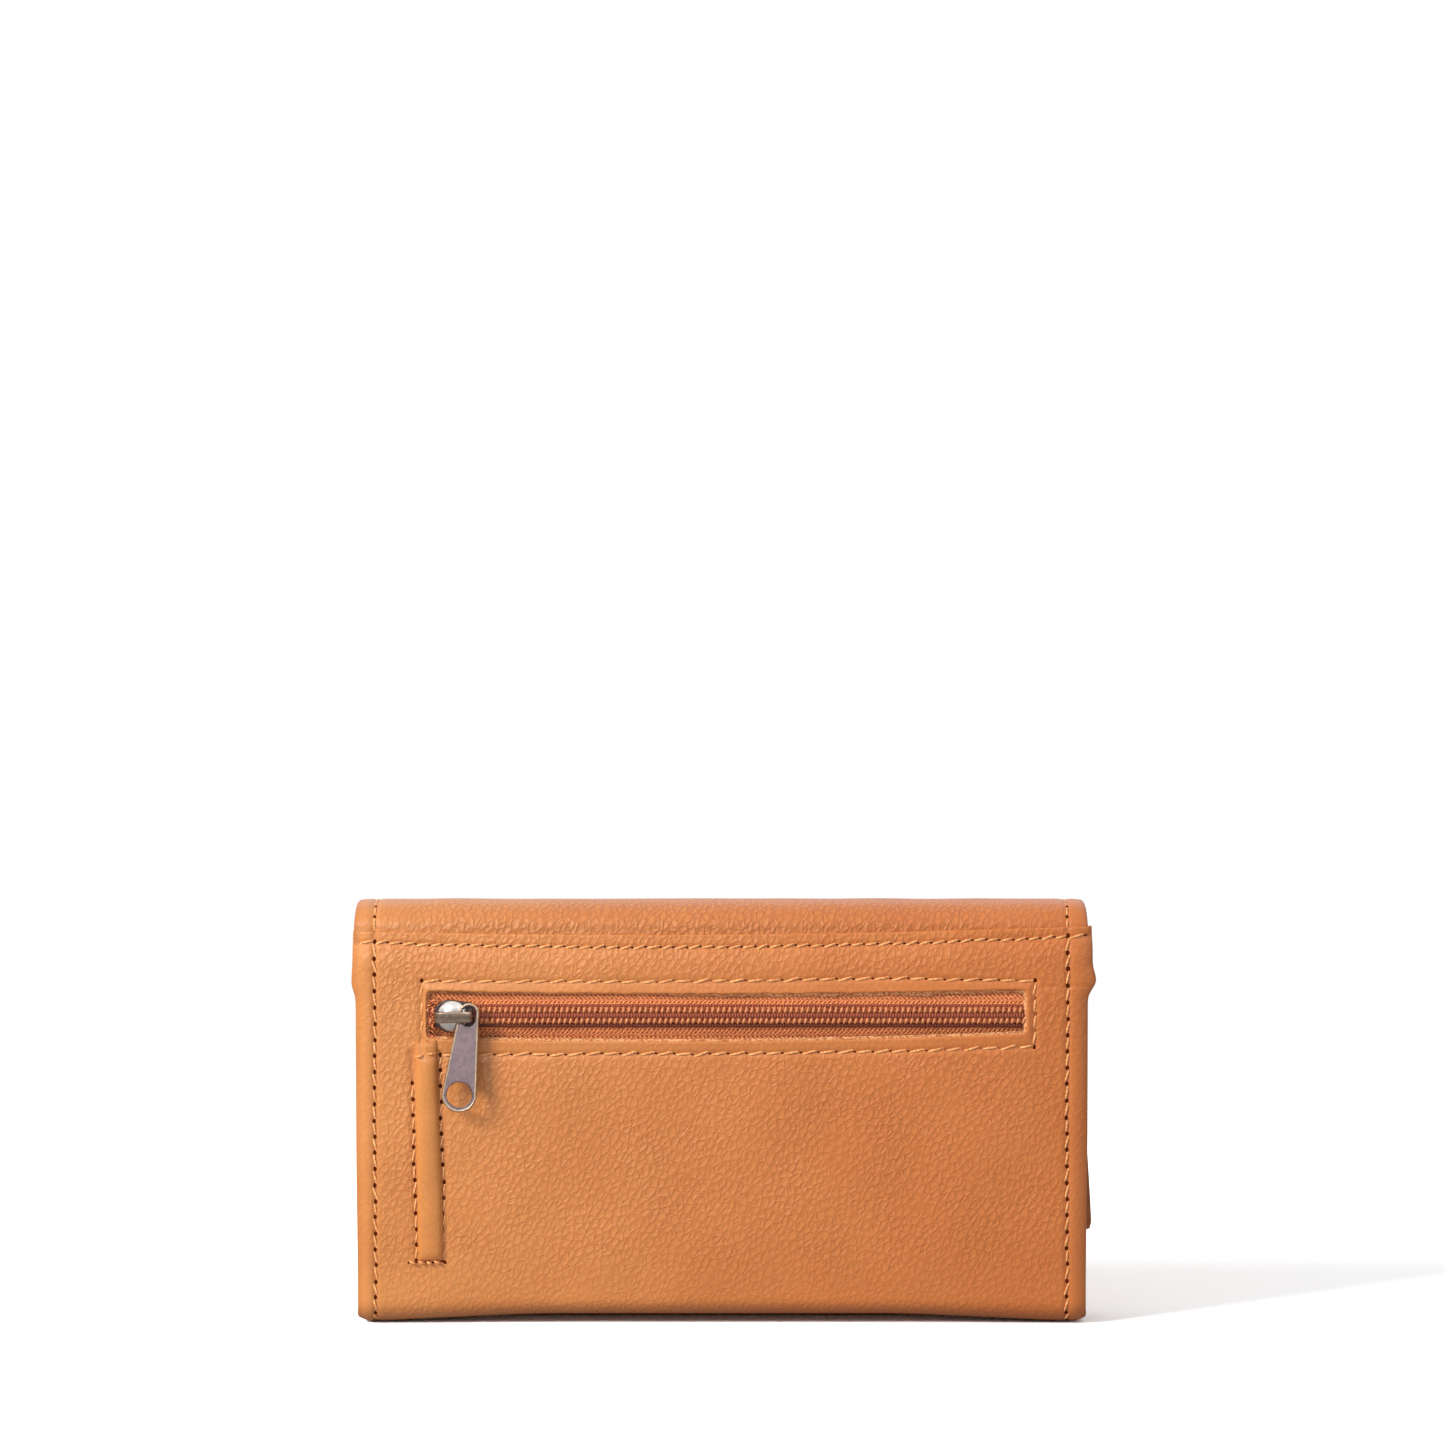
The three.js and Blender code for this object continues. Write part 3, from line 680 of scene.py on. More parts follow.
def from_curve(name, curve, look):
    temporary = add_object(name + "_curve", curve)
    bpy.context.view_layer.update()
    graph = bpy.context.evaluated_depsgraph_get()
    mesh = bpy.data.meshes.new_from_object(temporary.evaluated_get(graph))
    bpy.data.objects.remove(temporary)
    mesh.name = name
    return show(name, mesh, (look,), np.array([v.co for v in mesh.vertices], np.float32) / MM)


def stand_up(piece, x, y, z, lean=0.0, tilt=0.0):
    """Turns a plate drawn in XY to face -Y, leans it in its plane, tilts it out and moves it"""
    upright_turn = Matrix.Rotation(lean, 4, "Y") @ Matrix.Rotation(math.pi / 2 - tilt, 4, "X")
    piece.data.transform(Matrix.Translation(Vector((x, y, z)) * MM) @ upright_turn)


# ---- sewing ----

RINGS, SIDES = 7, 6  # points along and round a stitch
HOLE_POINTS = 8
UNEVEN = 0.11  # how far a needle hole strays from its line

# Radius of thread and of holes, how proud the thread lies, length over width of the holes
PLUMP = (0.35, 0.25, 0.2, 1.8)
SUNK = (0.31, 0.46, 0.15, 1.45)  # upright seams, pulled down into the leather
FLAT = (0.25, 0.4, 0.15, 1.3)
BESIDE_STRIP = (0.28, 0.48, 0.08, 1.3)
TACK = (0.36, 0.3, 1.2, 1.3)
OVER_STRIP = (0.3, 0, 1.95, 1)  # no holes

ENDS = (("left", -1), ("right", 1))  # of the wallet, and their side of the middle


def sew(name, skin, holes, slant, gauge=PLUMP):
    """A line of slanting lock stitches on a skin, and the dark needle holes"""
    radius, hole, proud, long = gauge
    rng = np.random.default_rng(len(holes))
    holes = np.asarray(holes, float)
    holes = holes + UNEVEN * rng.standard_normal(holes.shape)
    start, end = holes[:-1], holes[1:]
    along = unit(end - start)
    aside = join(-along[:, 1], along[:, 0]) * slant
    wobble = 1 + 0.3 * rng.standard_normal((len(start), 1))
    t = np.linspace(0.04, 0.96, RINGS)[None, :, None]
    path = (start + aside * wobble)[:, None] * (1 - t) + (end - aside * wobble)[:, None] * t
    swell = np.sin(math.pi * t[..., 0])
    centre = skin.at(path[..., 0], path[..., 1], -0.5 + (0.5 + proud) * swell**0.6)
    ny, nz = skin.normal(path[..., 1])
    up = join(0 * ny, ny, nz)
    across = np.cross(unit(np.gradient(centre, axis=1)), up)
    size = radius * (0.65 + 0.35 * swell)
    ring = [centre + size[..., None] * (math.cos(a) * up + math.sin(a) * across) for a in around(SIDES)]
    points = np.stack(ring, axis=2)
    index = np.arange(points[..., 0].size).reshape(points.shape[:3])
    caps = [*index[:, 0, ::-1].tolist(), *index[:, -1].tolist()]
    points = points.reshape(-1, 3)
    faces = ring_quads(index).tolist() + caps
    pick = [0] * len(faces)
    if hole:
        turn = around(HOLE_POINTS)[:, None]
        ahead = np.concatenate([along, along[-1:]])[:, None]
        beside = join(-ahead[..., 1], ahead[..., 0])
        oval = long * np.cos(turn) * ahead + np.sin(turn) * beside
        disc = holes[:, None] + hole * oval
        rim = skin.at(disc[..., 0], disc[..., 1], 0.06)
        discs = (np.arange(disc[..., 0].size).reshape(-1, HOLE_POINTS) + len(points))[:, ::-1]
        points = np.concatenate([points, rim.reshape(-1, 3)])
        faces += discs.tolist()
        pick += [1] * len(discs)
    return make(name, points, faces, ("thread", "hole"), pick)


def needle_holes(start, end, pitch, other):
    """Places from start to end, with their other coordinate: a number or a function of place"""
    places = np.linspace(start, end, round(abs(end - start) / pitch) + 1)
    return places, other(places) if callable(other) else np.full(len(places), other)


def level(x0, x1, pitch, height):
    return join(*needle_holes(x0, x1, pitch, height))


def upright(x, v0, v1, pitch):
    return join(*needle_holes(v0, v1, pitch, x)[::-1])


# ---- the outer leather ----

STRIP_RIGHT = -73.4  # stitches to the right of the strip
FINE_ROWS = ((71.4, 1.6), (90.0, 1.4), (99.4, 2.4))  # level seams: height, reach of the finer rows
RIM_RADIUS = 0.4  # rounding of the window's rim and of the back's outer edges
RIM_V, RIM_X = 5.9, 77.6  # from the middle of the zip and the window to just inside the rim


def back_leather():
    """The back and the fold under the wallet, with the zip's window cut out"""
    xs = spread([-HALF, *WINDOW, HALF], 1.15)
    for centre in (-SEAM_X, SEAM_X, FRAME_X[1], STRIP_RIGHT):
        xs = densify(xs, centre)
    xs = densify(xs, FRAME_X[0] - 1, 1.8)  # the frame's left line and the strip's beside it
    vs = spread([BACK.v[0], WINDOW_LOW, WINDOW_HIGH, BACK_TOP], 1.1)
    for centre, half in FINE_ROWS:
        vs = densify(vs, centre, half)
    x, v = grid(xs, vs)
    near_low, near_high = hump(v, WINDOW_LOW, 2.6), hump(v, WINDOW_HIGH, 2.6)
    moved = v + (window_bottom(x) - WINDOW_LOW) * near_low + (window_top(x) - WINDOW_HIGH) * near_high
    moved += (ridge_line(x) - BACK_TOP) * smooth(v, 97, BACK_TOP)
    # The window's cut edges wander a little
    moved += 0.14 * ripple(x, v, 4, 31) * near_high + 0.05 * ripple(x, v, 6, 32) * near_low
    aside = x.copy()
    for end, inward in zip(WINDOW, (1, -1)):
        for height, up in ((WINDOW_LOW, 1), (WINDOW_HIGH, -1)):
            corner = 0.4 * np.exp(-((x - end) ** 2 + (v - height) ** 2) / 0.5)
            moved += up * corner
            aside += inward * corner
    middle_x, middle_v = (xs[1:] + xs[:-1]) / 2, (vs[1:] + vs[:-1]) / 2
    inside = ((middle_x > WINDOW[0]) & (middle_x < WINDOW[1]))[:, None]
    inside = inside & ((middle_v > WINDOW_LOW) & (middle_v < WINDOW_HIGH))[None, :]
    outer = edge_dip(x, v, (BACK_TOP,), RIM_RADIUS)
    dx = np.maximum(np.maximum(WINDOW[0] - x, x - WINDOW[1]), 0)
    dv = np.maximum(np.maximum(WINDOW_LOW - v, v - WINDOW_HIGH), 0)
    off_rim = np.hypot(dx, dv)
    dip = np.maximum(outer, round_off(off_rim, RIM_RADIUS))
    lip = 0.3 * np.exp(-off_rim / 1.5)
    grain = 1 - 0.6 * smooth(np.abs(x), 86, 91) - 0.35 * hump(v, 5, 10)
    grain = grain - 0.6 * within(v, frame_bottom(x), frame_top(x), 2) * within(x, *FRAME_X, 2)
    # Painted shade: darker at the side edges, where the grain side turns away, under the wallet, and
    # along the seams
    shade = 0.25 * smooth(np.abs(x), 93.2, 95) + 0.25 * smooth(-v, -7, 0)
    shade = np.maximum(shade, 0.25 * sewn(x, moved) ** 2)
    skive = SKIVE * np.exp(-((dx + dv) ** 2) / 0.05)
    top_lean = -0.6 - 0.7 * smooth(x, -30, 40)
    lean_v = np.where(v > ZIP_Z, top_lean, 0.9) * (np.abs(v - ZIP_Z) > RIM_V) * skive
    lean_v = lean_v * (1 + 0.35 * ripple(x, v, 2.5, 33) * (v > ZIP_Z))
    lean_x = np.where(x > 0, -1, 1) * (dv == 0) * (np.abs(x - sum(WINDOW) / 2) > RIM_X) * skive
    face = BACK.at(aside, moved, lip - dip)
    back = BACK.at(aside + lean_x, moved + lean_v, lip - LEATHER)
    place = place_of(x, moved)
    made = slab("back_leather", face, back, place, OUTSIDE, ~inside, grain, shade, open_rows=(0,))
    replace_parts(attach(made, "body"), "back_panel", "base_fold")


def across_seams(step):
    """Places along X with finer ones at the two side seams"""
    return densify(densify(spread(SIDE_EDGES, step), SEAM_X), -SEAM_X)


def seamed_grain(x):
    """Grain, pressed flatter outside the side seams"""
    return 1 - 0.6 * smooth(np.abs(x), 86, SEAM_X)


def side_shade(x):
    """Painted shade at the side edges, where the grain side turns away"""
    return 0.3 * smooth(np.abs(x), 93.4, 95)


BEND_END = 44  # v where the flap hangs straight in front


def flap_leather():
    """The flap in two pieces that meet at the top of its bend"""
    xs = across_seams(1.2)
    end = FLAP_LENGTH
    bend = np.linspace(FLAP_MIDDLE, BEND_END, 20)
    hanging = densify(spread([BEND_END, end], 1.2), end - HEM)
    parts = (
        ("flap_back", np.linspace(0, FLAP_MIDDLE, 34), -1, ["flap_anchor", "flap_spine"]),
        ("flap_face", np.concatenate([bend[:-1], hanging]), 0, ["flap_front"]),
    )
    for name, vs, open_row, nodes in parts:
        x, v = grid(xs, vs)
        corner = 0.5 * np.exp(-((HALF - np.abs(x)) ** 2 + (end - v) ** 2) / 2)
        dip = edge_dip(x, v, (0, end))
        looks = {
            "grain": seamed_grain(x) + 0.35 * within(v, 8, 24, 4) * within(np.abs(x), 0, 60, 30),
            # Painted shade at the side edges and over the flap's top roll, where the light from above
            # falls strongest
            "shade": side_shade(x) + 0.12 * within(v, 7, 34, 5),
        }
        inward = x - np.sign(x) * corner
        face, back = (FLAP.at(inward, v - corner, out) for out in (-dip, -LEATHER))
        made = slab(name, face, back, place_of(x, v, 40), **looks, open_rows=(open_row,))
        bend_flap(made, name == "flap_back")
        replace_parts(made, *nodes)


def bend_flap(piece, at_back):
    """Bakes the placement of a piece of the flap into its mesh, the same at the back and at the front
    """
    if at_back:
        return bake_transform(piece)
    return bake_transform(piece)


def flap_lining():
    """The flap's lining, which stops a leather's thickness short of its edges"""
    xs = spread([-HALF + LEATHER, HALF - LEATHER], 3)
    end = FLAP_LENGTH - LEATHER
    bend = np.linspace(FLAP_MIDDLE, BEND_END, 18)
    hanging = np.concatenate([bend[:-1], spread([BEND_END, end], 3)])
    for name, vs, open_row, node in (
        ("flap_lining_back", np.linspace(2, FLAP_MIDDLE, 30), -1, "flap_spine_lining"),
        ("flap_lining_face", hanging, 0, "flap_front_lining"),
    ):
        x, v = grid(xs, vs)
        from_edge = np.minimum(xs[-1] - np.abs(x), end - v)
        sink = 0.75 * smooth(v, 40, 60) * smooth(from_edge, 0, 5)
        face = FLAP.at(x, v, -LEATHER - sink)
        back = FLAP.at(x, v, -LEATHER - 0.6 - sink)
        looks = ("lining", "lining")
        made = slab(name, face, back, place_of(x, v, 80), looks, open_rows=(open_row,))
        bend_flap(made, name == "flap_lining_back")
        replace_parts(made, node)


def bend_front(piece):
    """Bakes the placement of a piece of the front leather into its mesh"""
    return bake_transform(piece)


def front_leather():
    vs = densify(spread([FRONT.v[0], FRONT_TOP], 1.4), FRONT_TOP - HEM)
    x, v = grid(across_seams(1.4), vs)
    dip = edge_dip(x, v, (FRONT_TOP,))
    face, back = FRONT.at(x, v, -dip), FRONT.at(x, v, -LEATHER)
    looks = {"grain": seamed_grain(x), "shade": side_shade(x)}
    made = slab("front_leather", face, back, place_of(x, v, 120), **looks, open_rows=(0,))
    bend_front(made)
    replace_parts(made, "front_panel")


def raised_strip():
    """A narrow roll of smooth leather below the window's lower edge"""
    us = np.sin(np.linspace(-math.pi / 2, math.pi / 2, 25))
    u, z = grid(us, spread([STRIP_LOW, STRIP_HIGH], 1.2))
    half = 3.3 - 0.5 * smooth(z, 20, 72) + 0.1 * ripple(0 * z, z, 20, 41)
    low_end = smooth(z, STRIP_LOW - 1.4, STRIP_LOW + 1.6)
    top_end = 1 - 0.5 * smooth(z, 70.5, STRIP_HIGH)
    crown = 1.4 * np.sqrt(np.clip(1 - u**2, 0, 1)) * np.minimum(low_end, top_end)
    crown = crown + 0.12 * ripple(u * 3, z, 14, 42) * (1 - u**2)
    crown = crown - 0.5 * hump(z, frame_bottom(-77.0), 0.8) * (1 - u**2)
    top = z + 0.35 * ripple(u * 4, 0 * z, 3, 43) * smooth(z, 71, STRIP_HIGH)
    base = BACK.at(strip_centre(z) - 0.35 + u * half, top)
    face = base + (-0.05 - crown)[..., None] * (0, 1, 0)
    back = base + (0, 0.15, 0)
    place, looks = place_of(u * 4, z, 160), ("strip", "edge", "lining")
    made = slab("raised_strip_roll", face, back, place, looks, grain=0.6)
    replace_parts(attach(made, "body"), "raised_strip")


def sew_back():
    def sew_on(name, holes, slant, gauge=PLUMP):
        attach(sew("thread_" + name, BACK, holes, slant, gauge), "body")

    for word, side in ENDS:
        holes = upright(side * SEAM_X, -1.5, join_line(side * SEAM_X), EDGE_PITCH)
        sew_on("side_" + word, holes, 0.5 * side, SUNK)
    sew_on("join", level(-93.4, 93.4, JOIN_PITCH, join_line), -0.45)
    sew_on("frame_top", level(*FRAME_X, FRAME_PITCH, frame_top), -0.45)
    sew_on("frame_low", level(FRAME_X[1], -72.8, FRAME_PITCH, frame_bottom), -0.5)
    for (word, _), x in zip(ENDS, FRAME_X):
        sew_on("frame_" + word, upright(x, frame_bottom(x), frame_top(x), 4.4), 0.35, SUNK)
    for (word, _), aside, high in zip(ENDS, STRIP_SEAMS, (63, 70.5)):
        holes = upright(lambda v: strip_centre(v) + aside, STRIP_LOW - 0.4, high, EDGE_PITCH)
        sew_on("strip_" + word, holes, 0.4, BESIDE_STRIP)
    sew_on("strip_tack", level(-81.0, -72.6, 2.1, 16.3), 0.4, TACK)
    sew_on("over_strip", [(-79.6, 70.0), (-76.6, 70.6), (-73.4, 71.0)], 0.1, OVER_STRIP)


def sew_flap():
    edge = FLAP_LENGTH - HEM
    for word, side in ENDS:
        for end, low, high in (("back", 8.6, FLAP_MIDDLE), ("face", FLAP_MIDDLE, edge)):
            holes = upright(side * SEAM_X, low, high, EDGE_PITCH)
            seam = sew(f"thread_flap_{word}_{end}", FLAP, holes, 0.18 * side, FLAT)
            bend_flap(seam, end == "back")
    low = level(-SEAM_X, SEAM_X, EDGE_PITCH, edge)
    bend_flap(sew("thread_flap_low", FLAP, low, 0.25), False)


def sew_front():
    edge = FRONT_TOP - HEM
    for word, side in ENDS:
        holes = upright(side * SEAM_X, 3, edge, EDGE_PITCH)
        bend_front(sew("thread_front_" + word, FRONT, holes, 0.18 * side, FLAT))
    top = level(-SEAM_X, SEAM_X, EDGE_PITCH, edge)
    bend_front(sew("thread_front_top", FRONT, top, 0.25))


# ---- the zip ----


def zip_tapes():
    upper, lower = (ZIP_Z + TAPE_GAP, TAPE_HIGH), (TAPE_LOW, ZIP_Z - TAPE_GAP)
    for name, ends in (("zip_tape_upper", upper), ("zip_tape_lower", lower)):
        x, z = grid(np.linspace(*TAPE_X, 150), np.linspace(*ends, 16))
        rise = -0.35 * hump(z, ZIP_Z, 3.4) + 0.12 * ripple(x, z, 24, 51)
        hang = 1.1 * smooth(ZIP_Z - z, 1.5, 6.5)
        face = join(x, TAPE_Y + rise + hang, z)
        place, looks = place_of(x, z, 200), ("tape",) * 3
        made = slab(name + "_cloth", face, face + (0, 0.5, 0), place, looks)
        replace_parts(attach(made, "body"), name)


def coil_row(name, side):
    """One row of coil teeth: loops of wire that hump outwards beside the middle of the zip"""
    profile = np.array(TOOTH)
    start = WINDOW[0] + 0.3 + (0 if side > 0 else COIL_PITCH / 2)
    loops = []
    for x in np.arange(start, WINDOW[1] - 0.4, COIL_PITCH):
        lean = np.linspace(0.2, -0.25, len(profile)) * side
        z = ZIP_Z + side * profile[:, 0]
        loops.append(join(x + lean, TAPE_Y + profile[:, 1], z))
    made = wire(name + "_teeth", loops, 0.38, "coil")
    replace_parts(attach(made, "body"), name)


def zip_cords():
    """The cord inside the coil, and the sewing that holds each row to its tape"""
    xs = np.linspace(WINDOW[0] - 2, WINDOW[1] + 2, 220)
    cords = (
        ("zip_core", 0.0, -0.45, 0.72, "cord"),
        ("zip_bind_upper", 2.5, -0.2, 0.4, "cord"),
        # The lower binding is sewing that holds its row, made dark with painted shade
        ("zip_bind_lower", -2.6, -0.1, 0.55, "cord_in_shade"),
    )
    for name, offset, out, radius, look in cords:
        wave = 0.04 * np.sin(xs * 2 * math.pi / COIL_PITCH)
        line = join(xs, np.full(len(xs), TAPE_Y + out), ZIP_Z + offset + wave)
        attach(wire(name, [line], radius, look), "body")


def frayed_ends():
    """Loose fibres where the tapes end under the left end of the window"""
    rng = np.random.default_rng(71)
    t = np.linspace(0, 1, 9)
    lines = []
    for z in np.linspace(WINDOW_LOW + 0.8, WINDOW_HIGH - 2.0, 16):
        reach, rise, curl = rng.uniform(1.5, 4.0), rng.uniform(-1.6, 1.6), rng.uniform(-0.7, 0.7)
        x = WINDOW[0] - 0.4 + reach * np.sin(math.pi * 0.6 * t)
        y = TAPE_Y - 0.5 - rng.uniform(0.3, 0.9) * np.sin(math.pi * t)
        lines.append(join(x, y, z + rise * t + curl * np.sin(2 * math.pi * t)))
    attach(wire("zip_tape_fray", lines, 0.16, "tape"), "body")


def slider_dome():
    """The round back end of the slider's top plate"""
    rings, spokes = 12, 40
    slope, heading = grid(np.linspace(0, math.pi / 2, rings), around(spokes))
    x = SLIDER_X - 0.3 + DOME[0] * np.sin(slope) * np.cos(heading)
    y = PLATE_Y + 0.3 - DOME[1] * np.cos(slope)
    z = ZIP_Z + DOME[2] * np.sin(slope) * np.sin(heading)
    quads = ring_quads(np.arange(rings * spokes).reshape(rings, spokes))
    return make("slider_dome", join(x, y, z).reshape(-1, 3), quads, ("nickel",))


def slider_bridge():
    """The band that the pull hangs from"""
    left, right, thick = -5.0, 5.0, 0.9
    rise = arc(left + 2.4, 2.3, 2.4, 180, 100, 8)
    drop = arc(right - 1.3, 2.0, 1.3, 80, 0, 8)
    outer = [(left, 0), *rise, (0, 3.35), (right - 1.4, 3.25), *drop, (right, 0)]
    inner = [(right - thick, 0), (right - thick, 1.9), (right - 1.4, 2.45), (0, 2.5)]
    inner += [(left + 2.2, 2.4), (left + thick + 0.3, 1.4), (left + thick, 0)]
    bridge = outline_mesh("slider_bridge", [outer + inner], 2.9, 0.4, "bronze")
    place = Matrix.Translation(Vector((SLIDER_X, PLATE_Y + 0.15, ZIP_Z)) * MM)
    bridge.data.transform(place @ Matrix.Diagonal((1, -1, 1, 1)))
    bridge.data.flip_normals()
    return bridge


def slider():
    nose = arc(-0.9, 0, 4.3, 90, 270, 24)
    plate = [*nose, (3.2, -3.7), (4.6, -3.5), (5.2, -2.8), (5.2, 2.8), (4.6, 3.5), (3.2, 3.7)]
    smaller = [(x * 0.88, y * 0.88) for x, y in plate]
    top = outline_mesh("slider_plate", [plate], 1.0, 0.3, "dark_metal")
    under = outline_mesh("slider_under", [smaller], 0.7, 0.15, "nickel")
    stand_up(top, SLIDER_X, PLATE_Y + 0.5, ZIP_Z)
    stand_up(under, SLIDER_X, TAPE_Y + 1.05, ZIP_Z)
    for piece in (top, under, slider_dome(), slider_bridge()):
        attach(piece, "zip_slider")
    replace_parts(top, "zip_slider")


def pull():
    eye, eye_up, end, end_hole, length = 2.6, 0.8, 4.5, 3.3, 20.4
    taper = math.degrees(math.asin((end - eye) / (length + eye_up)))
    outline = arc(0, eye_up, eye, -taper, 180 + taper, 28)
    outline += arc(0, -length, end, 180 + taper, 360 - taper, 34)
    slot = arc(0, 0.9, 1.75, 0, 180, 14) + arc(0, -0.9, 1.75, 180, 360, 14)
    holes = [slot, arc(0, -length, end_hole)]
    tab = outline_mesh("pull_tab", [outline, *holes], 0.75, 0.1, "gunmetal")

    def grown(points, shift):
        """The outline moved out from the middle of the nearer end"""
        out = []
        for x, y in points:
            cy = 0 if y > -length / 2 else -length
            size = math.hypot(x, y - cy)
            out.append((x * (size + shift) / size, cy + (y - cy) * (size + shift) / size, 0))
        return out

    rim = wire("pull_rim", [grown(outline, -0.32)], 0.4, "brass", closed=True)
    bushes = wire("pull_bushes", [grown(hole, 0.16) for hole in holes], 0.2, "dark_metal", closed=True)
    rim.data.transform(Matrix.Diagonal((1, 1, 1.3, 1)))
    bushes.data.transform(Matrix.Diagonal((1, 1, 2.2, 1)))
    for piece in (tab, rim, bushes):
        stand_up(piece, *PULL_AT, PULL_LEAN, PULL_TILT)
        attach(piece, "zip_pull")
    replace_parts(tab, "zip_pull")


# ---- inside ----

INNER = ("inner", "edge", "inner")
NAPPED = ("lining", "edge", "lining")
CLOTH = ("cloth",) * 3


def leaf(node, body, looks, seed):
    """An inside leaf: a thin slack sheet the size of its CAD node, with rounded top corners"""
    low, high = (np.array(corner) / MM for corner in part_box(node))
    x, z = grid(spread([low[0], high[0]], 3), spread([low[2], high[2]], 3))
    corner = np.exp(-((np.minimum(x - low[0], high[0] - x)) ** 2 + (high[2] - z) ** 2) / 3)
    slack = 0.1 * ripple(x, z, 40, seed)
    face = join(x - np.sign(x) * 0.6 * corner, low[1] + slack, z - 0.6 * corner)
    back = face + (0, high[1] - low[1], 0)
    made = slab(node + "_leaf", face, back, place_of(x, z, seed * 37), looks, grain=0.6)
    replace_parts(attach(made, body), node)
    return made


def inside():
    for number in range(1, 5):
        leaf(f"card_slot_{number}", "body", INNER, number)
    leaf("rear_lining", "body", NAPPED, 6)
    leaf("divider_panel", "body", INNER, 7)
    leaf("slip_pocket", "front_panel", INNER, 8)
    leaf("front_lining", "front_panel", NAPPED, 9)
    for node, seed in (("coin_lining_front", 12), ("coin_lining_back", 13)):
        cloth = leaf(node, "body", CLOTH, seed)


def gussets():
    """Bellows sides: from the back corner in to the divider and out to the front"""
    rear = [(88.4, -10.0), (92.2, -10.0), (93.4, -8.8), (93.4, -3.4), (92.4, -2.2)]
    fold = [(82.0, 1.0), (80.9, 2.05), (82.0, 3.1)]
    front = [(92.4, 6.1), (93.4, 7.0), (93.4, 7.9), (92.6, 8.5), (88.4, 8.5)]
    plan = np.array(rear + fold + front)  # the right-hand one, seen from above
    run = run_along(plan)
    places = np.linspace(0, run[-1], 60)
    line = join(*(np.interp(places, run, plan[:, i]) for i in (0, 1)))
    along = unit(np.gradient(line, axis=0))
    out = join(along[:, 1], -along[:, 0])
    s, z = grid(places, spread([GUSSET_LOW, GUSSET_HIGH], 3))
    for word, side in ENDS:
        bow = 0.25 * ripple(s, z, 30, 61 + side)
        layers = []
        for shift in (0.4, -0.4):
            x = side * (line[:, 0, None] + out[:, 0, None] * (shift + 0.3 * bow))
            y = line[:, 1, None] + out[:, 1, None] * shift + 0 * z
            layers.append(join(x, y, z))
        made = slab("gusset_" + word, *layers, place_of(s, z, 300 + side), INNER, grain=0.5)
        if side > 0:
            made.data.flip_normals()
        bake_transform(made)
        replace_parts(made, "gusset_rear_" + word, "gusset_front_" + word)


def carried_over():
    """CAD pieces that are shown as they are, with a finish"""
    nickel = ("snap_socket", "snap_stud", "snap_socket_washer", "snap_stud_washer")
    looks = {**dict.fromkeys(nickel, "nickel"), "snap_magnet": "magnet", "rear_board": "board"}
    for node, look in looks.items():
        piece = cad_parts[node]
        piece.data.materials.clear()
        piece.data.materials.append(LOOKS[look])
        if node in ("snap_socket", "snap_stud"):
            bevel = piece.modifiers.new("soft_edges", "BEVEL")
            bevel.width = 0.12 * MM
            bevel.segments = 2
            bevel.limit_method = "ANGLE"
            bevel.angle_limit = math.radians(40)


# ---- studio ----

LENS_DISTANCE = 1500.0
FRAME_WIDTH = 373.5  # width of the view at the wallet
AIM_Z = 156.6  # height of the middle of the view
ELEVATION = 3.0  # of the camera, in degrees
AMBIENT = 0.5  # strength of the light from all round
PAPER_GREY, PAPER_WHITE = 0.5, 1.75  # the paper's tone to other light and to the camera


def paper():
    """Paper that is white to the camera, grey to other light, and fades out at its rim"""
    g = new_look("floor_paper")
    seen = g.node("LightPath")["Is Camera Ray"]
    place = g.node("TexCoord")["Object"]
    far = g.node("VectorMath", {0: place}, operation="LENGTH")["Value"]
    colour = g.mix(seen, (*[PAPER_GREY] * 3, 1), (*[PAPER_WHITE] * 3, 1))
    fade = g.ramp(far, 0.3, 0.75, 1.0, 0.0)
    return g.finish(colour, 1.0, Specular_IOR_Level=0.0, Alpha=fade)


def lamp(name, at, size, power, gloss=True, matte=True, aim=(0, 0, 0.05)):
    """A square lamp aimed at a point, all in metres; gloss and matte say which light it gives"""
    data = bpy.data.lights.new(name, "AREA")
    data.size = size
    data.energy = power
    made = add_object(name, data)
    made.location = at
    made.visible_glossy = gloss
    made.visible_diffuse = matte
    made.visible_camera = False
    made.rotation_euler = (Vector(aim) - Vector(at)).to_track_quat("-Z", "Y").to_euler()


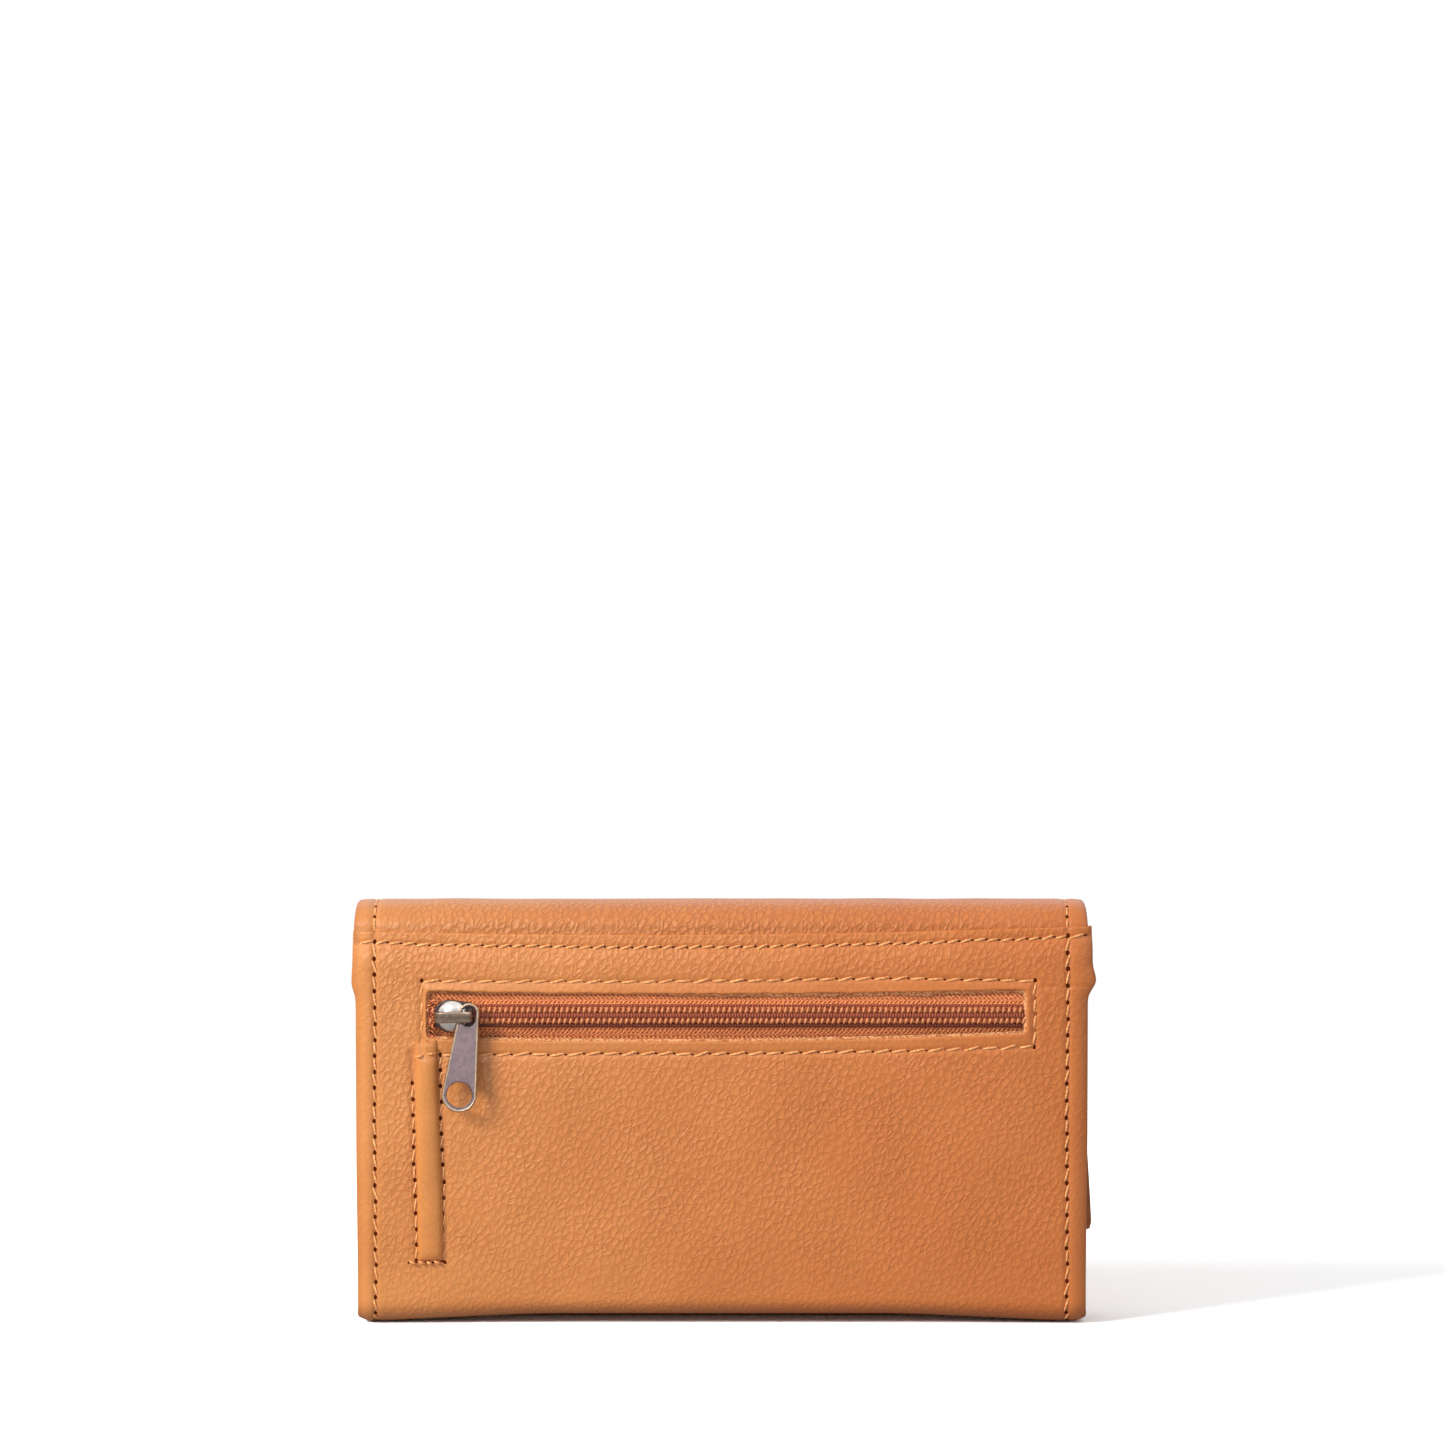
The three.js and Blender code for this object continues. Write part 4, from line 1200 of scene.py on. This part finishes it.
def studio():
    scene = bpy.context.scene
    scene.view_settings.view_transform = "Standard"
    camera = bpy.data.cameras.new("camera")
    camera.sensor_width = 36
    camera.lens = 36 * LENS_DISTANCE / FRAME_WIDTH
    camera.clip_start = 0.05
    seen = add_object("camera", camera)
    tilt = math.radians(ELEVATION)
    away, up = LENS_DISTANCE * math.cos(tilt), LENS_DISTANCE * math.sin(tilt)
    seen.location = Vector((0.4, BACK_Y - away, AIM_Z + up)) * MM
    seen.rotation_euler = (math.pi / 2 - tilt, 0, 0)
    scene.camera = seen

    world = bpy.data.worlds.new("studio")
    g = Nodes(world)
    path = g.node("LightPath")
    heading = g.node("TexCoord")["Generated"]
    height = g.node("SeparateXYZ", {0: heading})["Z"]
    # What gloss sees: a bright ceiling over a dim room
    ceiling = {"Value": height, "From Min": -0.1, "From Max": 0.5, "To Min": 0.15, "To Max": 1.7}
    mirrored = g.node("MapRange", ceiling)[0]
    around = g.node("Mix", {0: path["Is Glossy Ray"], 2: AMBIENT, 3: mirrored})[0]
    strength = g.node("Mix", {0: path["Is Camera Ray"], 2: around, 3: 1.0})[0]
    background = g.tree.nodes["Background"]
    g.feed(background.inputs["Color"], (1, 1, 1, 1))
    g.feed(background.inputs["Strength"], strength)
    scene.world = world

    lamp("key", (-0.85, -0.6, 0.6), 0.4, 16.5, gloss=False)
    lamp("fill", (0.9, -1.1, 0.7), 0.9, 2.0)
    lamp("sheen", (-0.2, -0.36, 0.27), 0.12, 0.9, matte=False, aim=(-0.08, 0, 0.1))

    size, z = 4.0, -0.0002
    mesh = bpy.data.meshes.new("floor")
    corners = [(-size, -size, z), (size, -size, z), (size, size, z), (-size, size, z)]
    mesh.from_pydata(corners, [], [(0, 1, 2, 3)])
    mesh.materials.append(paper())
    add_object("floor", mesh)


studio()
back_leather()
flap_leather()
flap_lining()
front_leather()
raised_strip()
sew_back()
sew_flap()
sew_front()
zip_tapes()
coil_row("zip_coil_upper", 1)
coil_row("zip_coil_lower", -1)
zip_cords()
frayed_ends()
slider()
pull()
inside()
gussets()
carried_over()
